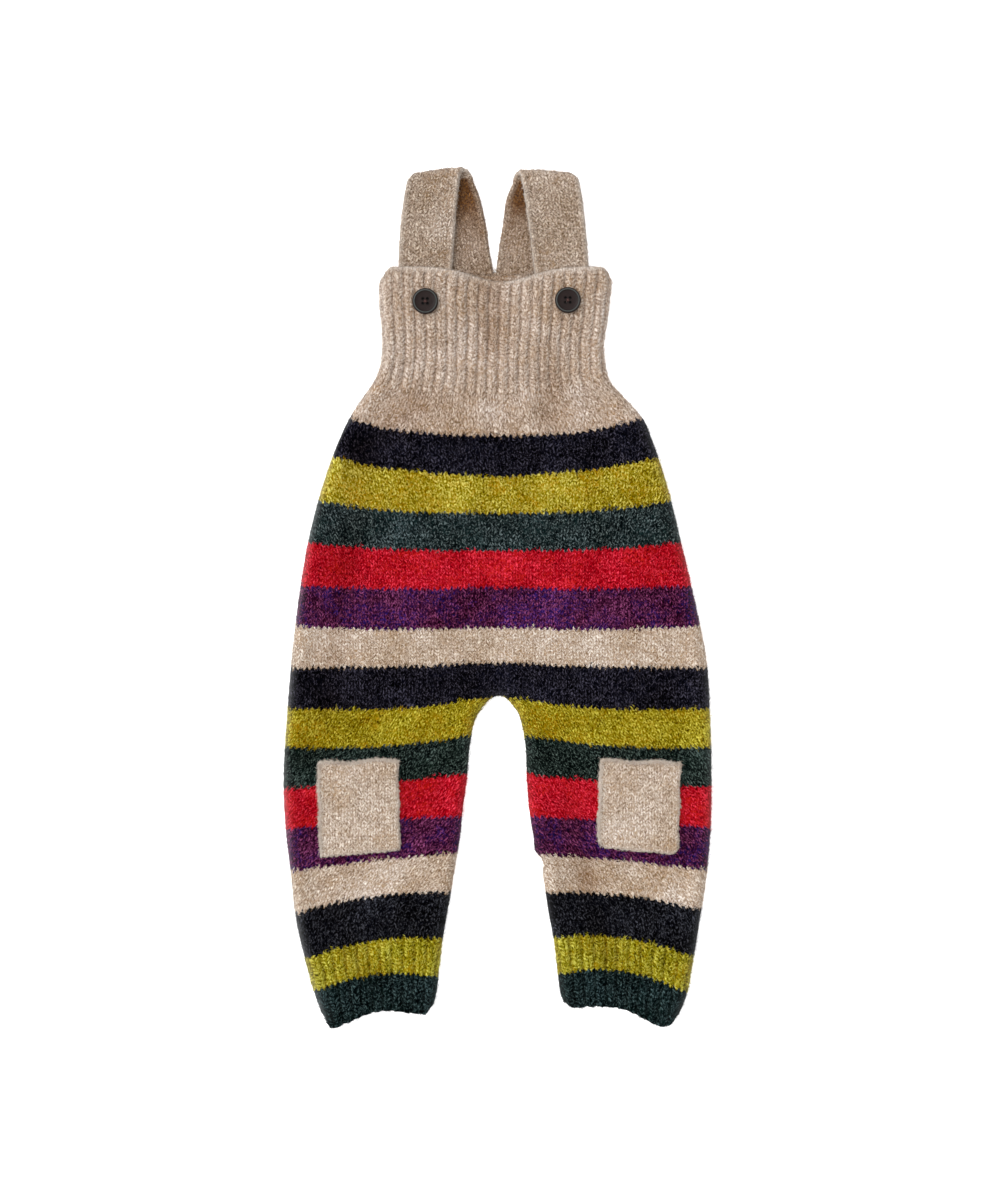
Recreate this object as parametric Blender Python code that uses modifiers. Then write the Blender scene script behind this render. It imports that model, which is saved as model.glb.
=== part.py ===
"""Knitted baby romper with a ribbed bib, striped body and legs, laid flat on its back.

Lengths are in millimetres here and become metres when a mesh is made. X runs to the
right as seen from above, Y runs from the leg cuffs to the straps, Z runs up from the
surface that the garment lies on. Left and right are as seen from above.
"""

import math

import bmesh
import bpy
import numpy as np
from mathutils import Vector

MM = 0.001

# Middle of the garment's footprint, which becomes the origin.
ORIGIN_X = -0.33
ORIGIN_Y = -0.22

WALL = 3.0  # felted knit
SEAM_GAP = 0.3  # between neighbouring pieces
SEAM_DRAW = 0.18  # each piece held back from a sloping seam
SEAM_HEIGHT = 4.3  # mid-height of the rolled sides
FRONT_HEIGHT = 7.4  # outer face of the front panels away from the sides
ROLL_RADIUS = 5.0  # plan depth of the rounded side
BULGE_HEIGHT = 1.6  # how far the fold at the side stands above the middle
BULGE_PLACE = 7.0
BULGE_WIDTH = 6.0

RIB_HEIGHT = 0.95
BIB_RIBS = 21
CUFF_RIBS = 11
RIB_SAMPLES = 4  # columns of points to each rib
RIB_FADE = 18.0  # length over which the ribs die out into plain knit
ROLL_COLUMNS = 3  # columns of points round each side
SLOPE_STEP = 0.5  # over which a surface's slope is taken

STRAP_THICKNESS = 3.0
STRAP_LIFT = 2.45  # height of the bib over a strap's end
STRAP_LIFT_INNER = 16.0  # width of its slope towards the middle
STRAP_LIFT_OUTER = 12.0  # towards the side
STRAP_LIFT_LOWER = 14.0  # below the strap's end
STRAP_LIFT_SPARE = 1.0  # kept level round the strap
STRAP_END_Y = 187.0
STRAP_FOLD_RADIUS = 3.2
STRAP_OUTER_CORNER = 9.0  # rounding of the fold's end towards the side
STRAP_INNER_CORNER = 4.5  # towards the middle

PATCH_THICKNESS = 2.0
PATCH_GAP = 0.45
PATCH_CORNER = 2.2

BUTTON_DIAMETER = 18.0
BUTTON_THICKNESS = 3.0
BUTTON_RIM = 1.9
BUTTON_DISH = 0.9
BUTTON_EDGE = 0.5
BUTTON_HOLE_DIAMETER = 1.7
BUTTON_HOLE_SPACING = 3.3

# Outline of the two outer sides, from the bib's corner to the cuffs.
SIDE_LINE = [
    # y, left x, right x
    (224.7, -79.5, 77.7),
    (221.9, -81.6, 78.8),
    (207.9, -83.0, 78.1),
    (191.1, -81.6, 76.0),
    (174.3, -80.9, 73.9),
    (165.9, -81.6, 74.6),
    (157.5, -83.7, 76.0),
    (149.1, -87.9, 79.5),
    (140.7, -94.0, 87.2),
    (123.9, -104.7, 101.9),
    (107.1, -112.4, 108.9),
    (81.9, -121.5, 117.3),
    (39.9, -132.7, 127.8),
    (-2.1, -139.7, 137.6),
    (-44.1, -144.6, 146.0),
    (-86.1, -147.9, 148.6),
    (-128.1, -150.2, 149.5),
    (-161.7, -148.8, 149.0),
    (-195.3, -145.0, 146.0),
    (-228.9, -141.0, 141.0),
    (-262.5, -132.7, 135.2),
    (-279.3, -127.8, 131.8),
    (-293.3, -122.4, 126.0),
]

# Outline of the legs' inner sides, from the crotch down.
INNER_LINE = [
    # y, left x, right x
    (-72.1, -5.3, 6.0),
    (-75.6, -8.1, 8.8),
    (-78.4, -10.9, 11.6),
    (-81.2, -13.4, 13.7),
    (-87.5, -16.5, 16.2),
    (-101.5, -19.3, 18.9),
    (-130.2, -22.1, 20.3),
    (-144.9, -24.2, 21.4),
    (-170.1, -27.0, 25.2),
    (-195.3, -31.2, 31.6),
    (-220.5, -35.4, 35.4),
    (-245.7, -39.6, 39.9),
    (-262.5, -41.7, 41.9),
    (-279.3, -43.8, 44.5),
    (-288.4, -46.2, 48.2),
]
CROTCH_X = 0.35
CROTCH_RISE = 2.1  # of the arch above its two ends

# Top edge of the bib's front.
BIB_TOP_Y = 230.3
BIB_TOP_CORNER = 5.6
BIB_DIP = 10.6
BIB_DIP_X = 3.2
BIB_DIP_WIDTH = 29.5
BACK_TOP_Y = 224.65

# Courses across the body, where one yarn gives way to the next.
BODY_COURSES = [
    # y at the sides, between, at the centre
    (157.5, 147.7, 147.7),
    (125.3, 113.4, 113.1),
    (98.0, 86.5, 83.7),
    (67.9, 59.2, 58.8),
    (37.8, 31.9, 32.2),
    (8.4, 5.6, 7.0),
    (-20.3, -23.5, -21.7),
    (-50.4, -51.5, -46.9),
    (-78.1, -79.1, -72.0),
]
BODY_YARNS = ["oatmeal", "navy", "lime", "green", "red", "purple", "oatmeal", "navy"]
COURSE_CENTRE_WIDTH = 0.3

# Courses across a leg below the one at the crotch.
LEG_COURSES = [
    # y at the outer side, in the middle, at the inner side
    (-105.0, -104.6, -96.6),
    (-133.7, -130.2, -123.2),
    (-162.4, -156.8, -153.3),
    (-191.8, -184.1, -179.2),
    (-221.2, -209.3, -206.2),
    (-253.1, -240.5, -238.4),
]
LEG_YARNS = ["lime", "green", "red", "purple", "oatmeal", "navy"]
CUFF_COURSE = (-275.8, -263.9, -265.3)
CUFF_YARNS = ["lime", "green"]

# Bottom edge of a cuff, from the outer side to the inner one.
HEM_LINE = [
    # share of the width, y
    (0.00, -291.2),
    (0.07, -300.0),
    (0.20, -298.4),
    (0.35, -293.3),
    (0.50, -289.8),
    (0.65, -289.5),
    (0.85, -291.2),
    (0.95, -290.5),
    (1.00, -284.2),
]

# Largest soft folds of the front, raised where the height is positive.
FOLDS = [
    # start x, start y, end x, end y, half width, height
    (-53.0, 138.0, -96.0, 103.0, 12.0, -0.7),
    (-96.0, 103.0, -107.0, 22.0, 12.0, -0.7),
    (-107.0, 22.0, -119.0, -72.0, 12.0, -0.7),
    (-119.0, -72.0, -133.0, -110.0, 9.0, -0.5),
    (-4.0, 218.0, -4.0, 176.0, 9.0, -0.7),
    (37.0, 150.0, 36.0, 128.0, 10.0, -0.7),
    (-12.0, 140.0, -12.0, 122.0, 7.0, 0.6),
    (23.0, 145.0, 22.0, 128.0, 6.0, 0.5),
    (-64.0, -135.0, -62.0, -172.0, 8.0, -0.6),
    (-51.0, -178.0, -52.0, -205.0, 9.0, 0.8),
    (-114.0, -222.0, -96.0, -262.0, 10.0, -0.7),
    (51.0, -140.0, 61.0, -195.0, 9.0, -0.7),
    (61.0, -195.0, 76.0, -255.0, 9.0, -0.7),
    (118.0, -210.0, 104.0, -262.0, 9.0, 0.6),
]

# Sections along each strap, from the end inside the bib up to its fold and then
# from the fold down the back.
STRAP_FRONTS = {
    "left": [
        # outer x, outer y, inner x, inner y, height of the middle
        (-71.2, STRAP_END_Y, -34.4, STRAP_END_Y, 4.85),
        (-70.6, 210.0, -33.2, 210.0, 4.85),
        (-69.8, 232.0, -32.0, 232.0, 4.9),
        (-68.6, 256.0, -30.2, 256.0, 5.4),
        (-66.4, 275.0, -28.8, 278.0, 6.5),
        (-64.6, 284.0, -27.4, 289.0, 7.3),
        (-63.0, 291.8, -23.8, 297.5, 7.9),
    ],
    "right": [
        (66.3, STRAP_END_Y, 29.0, STRAP_END_Y, 4.85),
        (65.0, 210.0, 27.2, 210.0, 4.85),
        (63.6, 232.0, 25.0, 232.0, 4.9),
        (61.6, 256.0, 22.2, 256.0, 5.4),
        (59.4, 276.0, 19.4, 278.0, 6.5),
        (58.0, 284.0, 17.2, 288.0, 7.3),
        (56.2, 292.2, 14.6, 294.6, 7.9),
    ],
}
STRAP_BACKS = {
    "left": [
        # outer x, outer y, inner x, inner y, height of the middle
        (-55.6, 288.8, -18.6, 295.5, 1.51),
        (-50.4, 277.0, -12.8, 281.0, 1.51),
        (-46.3, 260.0, -8.4, 261.0, 1.51),
        (-43.4, 243.0, -6.0, 243.0, 1.51),
        (-40.0, 225.0, -2.4, 225.0, 1.51),
    ],
    "right": [
        (47.3, 291.4, 9.8, 293.0, 1.51),
        (43.8, 278.0, 5.9, 279.0, 1.51),
        (41.0, 261.0, 3.3, 261.0, 1.51),
        (38.3, 244.0, 0.6, 244.0, 1.51),
        (35.6, 225.0, -1.8, 225.0, 1.51),
    ],
}

# Corners of the knee patches, from the top left one clockwise.
PATCHES = {
    "left": [(-125.8, -116.1), (-69.9, -113.6), (-68.3, -177.1), (-124.3, -182.4)],
    "right": [(71.8, -114.2), (127.8, -116.1), (126.1, -180.4), (69.7, -175.2)],
}

BUTTON_CENTRES = {"left": (-50.7, 206.0), "right": (48.7, 206.7)}

YARN_COLOURS = {
    # linear red, green, blue
    "oatmeal": (0.50, 0.37, 0.29),
    "navy": (0.008, 0.008, 0.012),
    "lime": (0.35, 0.27, 0.022),
    "green": (0.019, 0.031, 0.032),
    "red": (0.43, 0.010, 0.020),
    "purple": (0.060, 0.012, 0.048),
}


def make_material(name, colour, roughness):
    material = bpy.data.materials.new(name)
    material.use_nodes = True
    shader = material.node_tree.nodes["Principled BSDF"]
    shader.inputs["Base Color"].default_value = (*colour, 1.0)
    shader.inputs["Roughness"].default_value = roughness
    shader.inputs["Metallic"].default_value = 0.0
    material.diffuse_color = (*colour, 1.0)
    return material


def smooth_line(places, values, at):
    """Cubic curve through the table's points, with slopes from their neighbours."""
    slopes = np.gradient(values, places)
    index = np.clip(np.searchsorted(places, at) - 1, 0, len(places) - 2)
    width = places[index + 1] - places[index]
    t = np.clip((at - places[index]) / width, 0.0, 1.0)
    rise = values[index + 1] - values[index]
    bend_start = slopes[index] * width - rise
    bend_end = rise - slopes[index + 1] * width
    return values[index] + t * rise + t * (1 - t) * (bend_start * (1 - t) + bend_end * t)


def line_x(table, column, y):
    """X of an outline table at the given heights."""
    rows = np.array(table)[::-1]
    return smooth_line(rows[:, 0], rows[:, column], np.asarray(y, dtype=float))


def fade(value, start, end):
    """Smooth step from 0 at start to 1 at end."""
    t = np.clip((value - start) / (end - start), 0.0, 1.0)
    return t * t * (3 - 2 * t)


def side_run(table, column, upward):
    """Points along one side, close together, with the garment on the right hand."""
    rows = np.array(table)
    heights = np.linspace(rows[0, 0], rows[-1, 0], 160)
    if upward:
        heights = heights[::-1]
    return np.stack([line_x(table, column, heights), heights], axis=1)


def rolled_sides():
    """Segments of every side where front and back fold into each other."""
    arch_x = np.linspace(INNER_LINE[0][2], INNER_LINE[0][1], 9)
    arch = np.stack([arch_x, arch_height(arch_x)], axis=1)
    between_legs = np.concatenate(
        [side_run(INNER_LINE, 2, True), arch[1:-1], side_run(INNER_LINE, 1, False)]
    )
    runs = [side_run(SIDE_LINE, 1, True), side_run(SIDE_LINE, 2, False), between_legs]
    starts = np.concatenate([run[:-1] for run in runs])
    ends = np.concatenate([run[1:] for run in runs])
    return starts, ends


def arch_height(x):
    """Y of the crotch arch, a parabola between the legs' inner corners."""
    half = (INNER_LINE[0][2] - INNER_LINE[0][1]) / 2
    share = np.clip((x - CROTCH_X) / half, -1.0, 1.0)
    return INNER_LINE[0][0] + CROTCH_RISE * (1 - share**2)


def nearest_side(x, y):
    """Distance to the nearest rolled side, and the direction away from it."""
    starts, ends = rolled_sides()
    along = ends - starts
    length = np.linalg.norm(along, axis=1)
    point = np.stack([x, y], axis=-1)
    offset = point[..., None, :] - starts
    share = np.clip((offset * along).sum(-1) / length**2, 0.0, 1.0)
    gap = np.linalg.norm(offset - share[..., None] * along, axis=-1)
    nearest = gap.argmin(axis=-1)
    distance = np.take_along_axis(gap, nearest[..., None], axis=-1)[..., 0]
    inward = np.stack([along[:, 1], -along[:, 0]], axis=1) / length[:, None]
    return distance, inward[nearest]


def fold_relief(x, y):
    """Sum of the soft folds, each a rounded ridge or trough along its line."""
    relief = np.zeros_like(x)
    for start_x, start_y, end_x, end_y, width, height in FOLDS:
        along_x = end_x - start_x
        along_y = end_y - start_y
        share = (x - start_x) * along_x + (y - start_y) * along_y
        share = np.clip(share / (along_x**2 + along_y**2), 0.0, 1.0)
        away_x = x - start_x - share * along_x
        away_y = y - start_y - share * along_y
        relief += height * np.exp(-(away_x**2 + away_y**2) / width**2)
    return relief


def strap_lift(x, y):
    """Height that the strap ends inside the bib give to its front."""
    lift = np.zeros_like(x)
    for side, mirror in (("left", -1), ("right", 1)):
        rows = np.array(STRAP_FRONTS[side])
        outer = np.interp(y, rows[:, 1], rows[:, 0] * mirror)
        inner = np.interp(y, rows[:, 3], rows[:, 2] * mirror)
        across = x * mirror
        rise = fade(across, inner - STRAP_LIFT_INNER, inner - STRAP_LIFT_SPARE)
        fall = fade(across, outer + STRAP_LIFT_SPARE, outer + STRAP_LIFT_OUTER)
        start = fade(y, STRAP_END_Y - STRAP_LIFT_LOWER, STRAP_END_Y - STRAP_LIFT_SPARE)
        lift += STRAP_LIFT * rise * (1 - fall) * start
    return lift


def front_height(x, y, distance):
    """Outer height of the front before its sides roll down."""
    bulge = BULGE_HEIGHT * np.exp(-(((distance - BULGE_PLACE) / BULGE_WIDTH) ** 2))
    raised = np.sqrt(bulge**2 + strap_lift(x, y) ** 2)
    return FRONT_HEIGHT + raised + fold_relief(x, y)


def cloth_surface(x, y, front, at_side):
    """Outer points of a panel and their outward directions.

    The section near a side is a quarter ellipse, from the mid-height seam at the
    side to the panel's own height ROLL_RADIUS further in.
    """
    distance, inward = nearest_side(x, y)
    distance = np.where(at_side, 0.0, distance)
    cosine = 1 - np.minimum(distance / ROLL_RADIUS, 1.0)
    sine = np.sqrt(1 - cosine**2)
    seam = SEAM_GAP / 2
    if front:
        height = front_height(x, y, distance)
        level = height - SEAM_HEIGHT - seam
        beside, _ = nearest_side(x + SLOPE_STEP, y)
        above, _ = nearest_side(x, y + SLOPE_STEP)
        slope_x = (front_height(x + SLOPE_STEP, y, beside) - height) / SLOPE_STEP
        slope_y = (front_height(x, y + SLOPE_STEP, above) - height) / SLOPE_STEP
        z = SEAM_HEIGHT + seam + level * sine
        upward = 1.0
    else:
        level = np.full_like(x, SEAM_HEIGHT - seam)
        slope_x = np.zeros_like(x)
        slope_y = np.zeros_like(x)
        z = SEAM_HEIGHT - seam - level * sine
        upward = -1.0
    roll = level * cosine / ROLL_RADIUS
    normal = np.stack(
        [
            -roll * inward[..., 0] - sine**2 * slope_x,
            -roll * inward[..., 1] - sine**2 * slope_y,
            upward * sine,
        ],
        axis=-1,
    )
    normal /= np.linalg.norm(normal, axis=-1, keepdims=True)
    return np.stack([x, y, z], axis=-1), normal


def body_course(row):
    """Y along one of the body's courses, as a function of x."""
    side_y, between_y, centre_y = BODY_COURSES[row]
    left = line_x(SIDE_LINE, 1, side_y)
    right = line_x(SIDE_LINE, 2, side_y)

    def height(x):
        across = (2 * x - left - right) / (right - left)
        centre = np.exp(-((across / COURSE_CENTRE_WIDTH) ** 2))
        return between_y + (side_y - between_y) * np.abs(across) ** 3 + (centre_y - between_y) * centre

    return height


def bib_top(x):
    """Y along the bib's front top edge, with its dip and rounded corners."""
    left = SIDE_LINE[0][1]
    right = SIDE_LINE[0][2]
    inset = np.minimum(np.minimum(x - left, right - x) / BIB_TOP_CORNER, 1.0)
    corner = BIB_TOP_CORNER * (1 - np.sqrt(1 - (1 - np.maximum(inset, 0.0)) ** 2))
    dip = BIB_DIP * np.exp(-(((x - BIB_DIP_X) / BIB_DIP_WIDTH) ** 2))
    return BIB_TOP_Y - corner - dip


def leg_course(outer_y, middle_y, inner_y):
    """Y along a leg's course, a parabola over the share of its width."""

    def height(share):
        start = outer_y * (1 - share) * (1 - 2 * share)
        middle = 4 * middle_y * share * (1 - share)
        return start + middle + inner_y * share * (2 * share - 1)

    return height


def hem_height(share):
    rows = np.array(HEM_LINE)
    return smooth_line(rows[:, 0], rows[:, 1], share)


def column_places(left, right, middle):
    """X of a row's points: close together round each side, even between them."""
    turn = np.linspace(0.0, math.pi / 2, ROLL_COLUMNS + 1)[:-1]
    edge = ROLL_RADIUS * (1 - np.cos(turn))
    even = np.linspace(left + ROLL_RADIUS, right - ROLL_RADIUS, middle + 1)
    return np.concatenate([left + edge, even, (right - edge)[::-1]])


def even_columns(middle):
    """Columns of a panel without a crotch."""

    def places(left, right, progress):
        return column_places(left, right, middle)

    return places


def body_columns(leg_middle):
    """Columns of the body, which draw together towards the crotch.

    In the last row they are a left leg's, the arch's middle and a right leg's.
    """

    def places(left, right, progress):
        left_leg = column_places(left, INNER_LINE[0][1], leg_middle)
        right_leg = column_places(INNER_LINE[0][2], right, leg_middle)
        crotch = np.concatenate([left_leg, [CROTCH_X], right_leg])
        even = column_places(left, right, len(crotch) - 1 - 2 * ROLL_COLUMNS)
        share = progress**3
        return even * (1 - share) + crotch * share

    return places


def row_places(courses, steps, last_shares=None):
    """Rows between courses, each as a course's index and a share of the way on."""
    rows = [(index, step / steps) for index in range(courses - 1) for step in range(steps)]
    if last_shares:
        rows += [(courses - 2, share) for share in last_shares]
    rows.append((courses - 2, 1.0))
    return rows


def wide_plan(courses, columns, rows):
    """Plan grid of a full-width panel, its courses as functions of x."""
    grid = []
    for number, (index, share) in enumerate(rows):

        def height(x, upper=courses[index], lower=courses[index + 1], share=share):
            return upper(x) * (1 - share) + lower(x) * share

        ends = []
        for column in (1, 2):
            x = line_x(SIDE_LINE, column, 0.0)
            for _ in range(20):
                x = line_x(SIDE_LINE, column, height(x))
            ends.append(x)
        x = columns(ends[0], ends[1], number / (len(rows) - 1))
        grid.append(np.stack([x, height(x)], axis=-1))
    return np.array(grid)


def leg_plan(side, courses, middle, rows):
    """Plan grid of a leg's panel, its courses as functions of the share of its width."""
    column = 1 if side == "left" else 2
    grid = []
    for index, share in rows:

        def height(across, upper=courses[index], lower=courses[index + 1], share=share):
            return upper(across) * (1 - share) + lower(across) * share

        outer_x = line_x(SIDE_LINE, column, height(0.0))
        inner_x = line_x(INNER_LINE, column, height(1.0))
        x = column_places(min(outer_x, inner_x), max(outer_x, inner_x), middle)
        grid.append(np.stack([x, height((x - outer_x) / (inner_x - outer_x))], axis=-1))
    return np.array(grid)


def crotch_course(side):
    """The body's last course over the share of one leg's width."""
    column = 1 if side == "left" else 2
    outer_x = line_x(SIDE_LINE, column, BODY_COURSES[-1][0])
    inner_x = INNER_LINE[0][column]
    course = body_course(-1)

    def height(share):
        return course(outer_x + (inner_x - outer_x) * share)

    return height


def side_mask(plan):
    """True where a plan grid's points lie on a rolled side."""
    mask = np.zeros(plan.shape[:2], dtype=bool)
    mask[:, 0] = True
    mask[:, -1] = True
    return mask


def stitch(mesh, outer, inner, bands):
    """Joins an edge of the outer grid to the same edge of the inner one.

    Both edges are lists of vertices that start and end at matching corners.
    """

    def shares(edge):
        points = np.array([vertex.co for vertex in edge])
        walked = np.cumsum(np.linalg.norm(np.diff(points, axis=0), axis=1))
        return np.concatenate([[0.0], walked / walked[-1]])

    outer_shares = shares(outer)
    inner_shares = shares(inner)
    i = 0
    j = 0
    while i < len(outer) - 1 or j < len(inner) - 1:
        if j == len(inner) - 1:
            take_outer = True
        elif i == len(outer) - 1:
            take_outer = False
        else:
            take_outer = outer_shares[i + 1] <= inner_shares[j + 1]
        if take_outer:
            face = mesh.faces.new([outer[i], outer[i + 1], inner[j]])
            i += 1
        else:
            face = mesh.faces.new([outer[i], inner[j + 1], inner[j]])
            j += 1
        face.material_index = bands[min(i, len(bands) - 1)]


def cloth_wall(name, outer, inner, yarns, collection):
    """Closed wall between an outer and an inner grid of points, in millimetres.

    yarns gives each row of the outer grid's faces its yarn.
    """
    mesh = bmesh.new()
    origin = np.array([ORIGIN_X, ORIGIN_Y, 0.0])
    used = sorted(set(yarns))
    sheets = []
    for grid in (outer, inner):
        vertices = [[mesh.verts.new((point - origin) * MM) for point in row] for row in grid]
        sheets.append(vertices)
        rows = len(grid) - 1
        for row in range(rows):
            yarn = used.index(yarns[row * len(yarns) // rows])
            for column in range(grid.shape[1] - 1):
                corners = [
                    vertices[row][column],
                    vertices[row][column + 1],
                    vertices[row + 1][column + 1],
                    vertices[row + 1][column],
                ]
                mesh.faces.new(corners).material_index = yarn
    out, back = sheets
    bands = [used.index(yarn) for yarn in yarns]
    stitch(mesh, out[0], back[0], bands[:1])
    stitch(mesh, out[-1], back[-1], bands[-1:])
    stitch(mesh, [row[0] for row in out], [row[0] for row in back], bands)
    stitch(mesh, [row[-1] for row in out], [row[-1] for row in back], bands)
    bmesh.ops.recalc_face_normals(mesh, faces=mesh.faces)
    data = bpy.data.meshes.new(name)
    mesh.to_mesh(data)
    mesh.free()
    for yarn in used:
        data.materials.append(bpy.data.materials[yarn + " yarn"])
    data.shade_smooth()
    data.set_sharp_from_angle(angle=math.radians(50))
    piece = bpy.data.objects.new(name, data)
    collection.objects.link(piece)
    return piece


def raise_ribs(points, normals, ribs, strength):
    """Raises ribs along the columns, strength being each row's share of full height."""
    columns = points.shape[1]
    middle = columns - 1 - 2 * ROLL_COLUMNS
    place = (np.arange(columns) - ROLL_COLUMNS) / middle * ribs
    wave = 0.5 - 0.5 * np.cos(2 * math.pi * place)
    wave[:ROLL_COLUMNS] = 0.0
    wave[columns - ROLL_COLUMNS :] = 0.0
    return points + normals * (RIB_HEIGHT * strength[:, None] * wave)[..., None]


def make_panel(name, plans, front, yarns, collection, ribs=0, strength=None):
    """Wall of one panel from the plan grids of its outer and inner faces."""
    grids = []
    for plan in plans:
        on_arch = np.abs(plan[..., 0] - CROTCH_X) < INNER_LINE[0][2] - CROTCH_X + 0.01
        on_arch &= plan[..., 1] <= arch_height(plan[..., 0]) + 0.02
        grids.append(cloth_surface(plan[..., 0], plan[..., 1], front, side_mask(plan) | on_arch))
    (outer, normals), (base, inward) = grids
    if ribs:
        outer = raise_ribs(outer, normals, ribs, strength)
    return cloth_wall(name, outer, base - WALL * inward, yarns, collection)


def make_bib(collection):
    seam = body_course(0)
    rows = row_places(2, 9)
    plans = []
    for middle in (BIB_RIBS * RIB_SAMPLES, BIB_RIBS):
        plan = wide_plan([bib_top, seam], even_columns(middle), rows)
        plan[-1, :, 1] += SEAM_DRAW
        plans.append(plan)
    to_seam = BIB_TOP_Y - BODY_COURSES[0][1]
    strength = fade(np.linspace(1.0, 0.0, len(rows)) * to_seam, 0.0, RIB_FADE)
    make_panel("bib_front", plans, True, ["oatmeal"], collection, BIB_RIBS, strength)

    def back_top(x):
        return np.zeros_like(x) + BACK_TOP_Y

    plans = []
    for middle, steps in ((18, 6), (9, 4)):
        plan = wide_plan([back_top, seam], even_columns(middle), row_places(2, steps))
        plan[-1, :, 1] += SEAM_DRAW
        plans.append(plan)
    make_panel("bib_back", plans, False, ["oatmeal"], collection)


def make_body(collection):
    courses = [body_course(row) for row in range(len(BODY_COURSES))]
    last_stripe = BODY_COURSES[-2][1] - BODY_COURSES[-1][1]
    turn = np.linspace(math.pi / 2, 0.0, ROLL_COLUMNS + 1)[:-1]
    near_arch = list(1 - ROLL_RADIUS * (1 - np.cos(turn)) / last_stripe)
    for name, front in (("body_front", True), ("body_back", False)):
        plans = []
        for middle, steps in ((7, 2), (4, 1)):
            rows = row_places(len(courses), steps, near_arch)
            plan = wide_plan(courses, body_columns(middle), rows)
            plan[0, :, 1] -= SEAM_DRAW
            arch = np.abs(plan[-1, :, 0] - CROTCH_X) < INNER_LINE[0][2] - CROTCH_X
            above_seam = plan[-1, :, 1] + SEAM_DRAW
            plan[-1, :, 1] = np.where(arch, arch_height(plan[-1, :, 0]), above_seam)
            plans.append(plan)
        yarns = [BODY_YARNS[index] for index, _ in row_places(len(courses), 2, near_arch)[:-1]]
        make_panel(name, plans, front, yarns, collection)


def make_leg(side, collection):
    courses = [crotch_course(side)] + [leg_course(*row) for row in LEG_COURSES]
    for part, front in (("front", True), ("back", False)):
        plans = []
        for middle, steps in ((7, 2), (4, 1)):
            plan = leg_plan(side, courses, middle, row_places(len(courses), steps))
            plan[0, :, 1] -= SEAM_DRAW
            plan[-1, :, 1] += SEAM_DRAW
            plans.append(plan)
        yarns = [yarn for yarn in LEG_YARNS for _ in range(2)]
        make_panel("leg_" + side + "_" + part, plans, front, yarns, collection)


def make_cuff(side, collection):
    courses = [leg_course(*LEG_COURSES[-1]), leg_course(*CUFF_COURSE), hem_height]
    plans = []
    rows = row_places(3, 3)
    for middle in (CUFF_RIBS * RIB_SAMPLES, CUFF_RIBS):
        plan = leg_plan(side, courses, middle, rows)
        plan[0, :, 1] -= SEAM_DRAW
        plans.append(plan)
    strength = fade(np.arange(len(rows)) / (len(rows) - 1), 0.0, 0.3)
    yarns = [yarn for yarn in CUFF_YARNS for _ in range(3)]
    make_panel("cuff_" + side + "_front", plans, True, yarns, collection, CUFF_RIBS, strength)
    plans = []
    for middle in (8, 5):
        plan = leg_plan(side, courses, middle, row_places(3, 2))
        plan[0, :, 1] -= SEAM_DRAW
        plans.append(plan)
    yarns = [yarn for yarn in CUFF_YARNS for _ in range(2)]
    make_panel("cuff_" + side + "_back", plans, False, yarns, collection)


def open_sheet(name, grid, material, thickness, offset, collection):
    """Cloth of even thickness on a grid of points, in millimetres."""
    mesh = bmesh.new()
    origin = np.array([ORIGIN_X, ORIGIN_Y, 0.0])
    vertices = [[mesh.verts.new((point - origin) * MM) for point in row] for row in grid]
    for row in range(len(grid) - 1):
        for column in range(len(grid[0]) - 1):
            corners = [
                vertices[row][column],
                vertices[row + 1][column],
                vertices[row + 1][column + 1],
                vertices[row][column + 1],
            ]
            mesh.faces.new(corners)
    data = bpy.data.meshes.new(name)
    mesh.to_mesh(data)
    mesh.free()
    data.materials.append(material)
    data.shade_smooth()
    piece = bpy.data.objects.new(name, data)
    collection.objects.link(piece)
    solidify = piece.modifiers.new("thickness", "SOLIDIFY")
    solidify.thickness = thickness * MM
    solidify.offset = offset
    solidify.use_even_offset = True
    return piece


def strap_sections(side):
    """Left and right ends of the strap's sections, from its front end to its back end."""
    front = np.array(STRAP_FRONTS[side])
    back = np.array(STRAP_BACKS[side])
    crest, foot = front[-1], back[0]
    upward = np.array([-(crest[3] - crest[1]), crest[2] - crest[0]])
    upward *= np.sign(upward[1]) / np.linalg.norm(upward)
    fold = []
    for turn in np.linspace(0.0, math.pi, 8)[1:-1]:
        share = turn / math.pi
        section = crest * (1 - share) + foot * share
        reach = STRAP_FOLD_RADIUS * math.sin(turn)
        section[0:2] += upward * reach
        section[2:4] += upward * reach
        section[4] = (crest[4] + foot[4]) / 2 + STRAP_FOLD_RADIUS * math.cos(turn)
        fold.append(section)
    runs = []
    for rows in (front, back):
        places = np.arange(len(rows), dtype=float)
        fine = np.linspace(0.0, len(rows) - 1.0, 2 * len(rows) - 1)
        runs.append(np.stack([smooth_line(places, rows[:, k], fine) for k in range(5)], axis=1))
    sections = np.concatenate([runs[0], np.array(fold), runs[1]])
    return round_fold(sections, len(runs[0]) + len(fold) // 2)


def round_fold(sections, top):
    """Both ends of the fold drawn in like quarter circles, by the distance below its top section."""
    middle = (sections[:, 0:2] + sections[:, 2:4]) / 2
    below = np.linalg.norm(middle - middle[top], axis=1)
    across = sections[:, 2:4] - sections[:, 0:2]
    across /= np.linalg.norm(across, axis=1, keepdims=True)
    for start, radius, sign in ((0, STRAP_OUTER_CORNER, 1), (2, STRAP_INNER_CORNER, -1)):
        rise = 1 - np.minimum(below / radius, 1.0)
        inset = radius * (1 - np.sqrt(1 - rise**2))
        sections[:, start : start + 2] += sign * across * inset[:, None]
    return sections


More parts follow.
